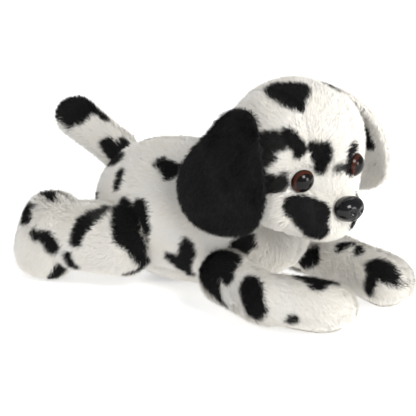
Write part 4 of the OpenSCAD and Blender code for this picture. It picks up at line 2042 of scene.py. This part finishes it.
FORELEG_LEFT_SPOTS = (
    Blot((44.5, 16.5, 20.5), (38, 17, 14), 3.2, 1.6),
    Blot((58, 20.5, 26.5), (61, 25, 27.5), 1.5, 1.8),
    Blot((66, 24, 27), (70, 20, 26.5), 1.3, 1.3),
    Blot((84, 14.5, 23.5), (90, 15, 22), 4.6, 4.6),
    Blot((83.5, 10.5, 19), (83.5, 10, 13.5), 2.6, 1.7),
    Blot((89.5, 15, 23.5), (98, 16.5, 21.5), 3.4, 1.2),
    Blot((95.5, 13.5, 20.5), (96.5, 13.5, 19), 2.0, 1.5),
    Blot((98, 14, 18), (101, 18, 18), 1.1, 1.1),
    Blot((101.5, 21.5, 18.5), (102, 23, 17.5), 2.0, 1.6),
    Blot((38, 44, 23), (46, 44, 17), 5.0, 3.8),
    Blot((62, 37, 27), (68, 39, 23), 3.8, 3.0),
    Blot((86, 36, 18), (92, 33, 14), 3.8, 3.0),
)
HINDLEG_RIGHT_SPOTS = (
    Blot((-31.5, -37, 42), (-24.5, -43, 33.5), 4.8, 6.0),
    Blot((-24.5, -43, 33.5), (-20, -39.5, 24.5), 5.8, 3.0),
    Blot((-20.5, -39, 21.5), (-21.5, -32.5, 15.5), 1.6, 1.2),
    Blot((-77, -44, 44), (-70, -46.5, 43.5), 1.8, 2.0),
    Blot((-72, -40, 46), (-63, -37, 45), 1.1, 1.0, 1.2, 0.85),
    Blot((-79, -55, 37), (-78, -57, 34.5), 2.7, 2.2),
    Blot((-70.5, -59.5, 28), (-65.5, -57.5, 27.5), 1.5, 2.2),
    Blot((-65.5, -57.5, 27.5), (-62, -56.5, 23.5), 2.5, 3.4),
    Blot((-62, -50, 9), (-66, -51, 4), 2.6, 2.8),
    Blot((-53, -54.5, 19), (-53, -51, 12.5), 1.3, 2.1),
    Blot((-41, -40.5, 41.5), (-46, -49.5, 36), 2.4, 3.4, 0.9, 0.97),
    Blot((-46, -49.5, 36), (-48.5, -54, 28), 3.4, 2.0),
    Blot((-100.5, -45, 10), (-100, -45, 8), 1.8, 1.4, 1.4, 0.55),
    Blot((-28, -39, 10.5), (-22, -33, 14.5), 1.2, 1.8),
    Blot((-74, -26, 40), (-80, -27, 36), 4.2, 3.2),
)
HINDLEG_LEFT_SPOTS = (
    Blot((-44, 48, 41), (-51, 54, 34), 4.8, 3.6),
    Blot((-67, 57, 32), (-72, 59, 25), 4.4, 3.2),
    Blot((-29, 44, 38), (-24, 47, 32), 4.6, 3.4),
    Blot((-30, 52, 18), (-36, 53, 14), 3.4, 2.6),
    Blot((-84, 47, 46), (-80, 50, 43), 3.4, 2.6),
    Blot((-72, 24, 38), (-76, 23, 33), 3.8, 3.0),
    Blot((-64, 54, 9), (-68, 55, 6), 2.6, 2.4),
)


def dress_kept_nodes(finishes: dict[str, bpy.types.Material]) -> None:
    """Gives the CAD nodes that stay their materials.

    Args:
        finishes: the material of each node.
    """
    for name, material in finishes.items():
        node = frame["nodes"][name]
        for slot in node.material_slots:
            slot.material = material


def main() -> None:
    """Builds the toy, part by part."""
    logging.basicConfig(level=logging.INFO, format="%(message)s")
    Studio().build()
    pile = PileFinish("spotted_pile").build()
    black = PileFinish(
        "black_pile",
        black=(0.002, 0.002, 0.0022, 1),
        # The grey is painted glints on the black ear.
        grey=(0.022, 0.021, 0.022, 1),
        roughness=0.5,
    ).build()
    backing = BackingFinish("pile_backing").build()
    head = Head(coat=Coat(HEAD_SPOTS))
    smooth = Nap(lean=62.0, wander=0.12)
    parts: list[StuffedPart] = [
        Torso(coat=Coat(TORSO_SPOTS)),
        head,
        Tail(coat=Coat(TAIL_SPOTS)),
        Foreleg(
            side=Side.RIGHT,
            body="foreleg_right",
            nap=smooth,
            coat=Coat(FORELEG_RIGHT_SPOTS),
        ),
        Foreleg(
            side=Side.LEFT,
            body="foreleg_left",
            elbow_out=-6.0,
            elbow_bend=3.0,
            paw_tip=43.5,
            nap=smooth,
            coat=Coat(FORELEG_LEFT_SPOTS),
        ),
        HindLeg(side=Side.RIGHT, body="hindleg_right", coat=Coat(HINDLEG_RIGHT_SPOTS)),
        HindLeg(side=Side.LEFT, body="hindleg_left", coat=Coat(HINDLEG_LEFT_SPOTS)),
    ]
    for part in parts:
        part.build(pile, backing)
    velvet = Nap(length=3.1, width=0.26, lean=44, wander=0.35, density=8.0)
    Ear(
        side=Side.RIGHT, body="ear_right", nap=velvet, coat=Coat(ground=1.0), head=head
    ).build(black, backing)
    Ear(
        side=Side.LEFT,
        body="ear_left",
        flare=14.0,
        nap=velvet,
        coat=Coat(LEFT_EAR_SPOTS),
        head=head,
    ).build(pile, backing)
    eye_plastic = EyeFinish().build()
    for side in Side:
        Eye(side, head).build(eye_plastic)
    nose_plastic = MouldedFinish("nose_plastic", (0.004, 0.004, 0.005, 1), 0.22, 0.45, 0.15)
    Nose(head).build(nose_plastic.build())
    NeckLining().build(TwistFinish("lining_cloth", (0.72, 0.70, 0.66, 1), 0.9).build())
    washer = MouldedFinish("washer_plastic", (0.78, 0.78, 0.76, 1), 0.45).build()
    thread = TwistFinish("thread", (0.80, 0.78, 0.74, 1), 0.5).build()
    dress_kept_nodes(
        {
            "eye_washer_right": washer,
            "eye_washer_left": washer,
            "nose_washer": washer,
            "neck_thread": thread,
        }
    )
    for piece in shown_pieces():
        triangles = sum(len(p.vertices) - 2 for p in piece.data.polygons)
        LOG.info("%s: %d triangles", piece.name, triangles)


if __name__ == "__main__":
    main()
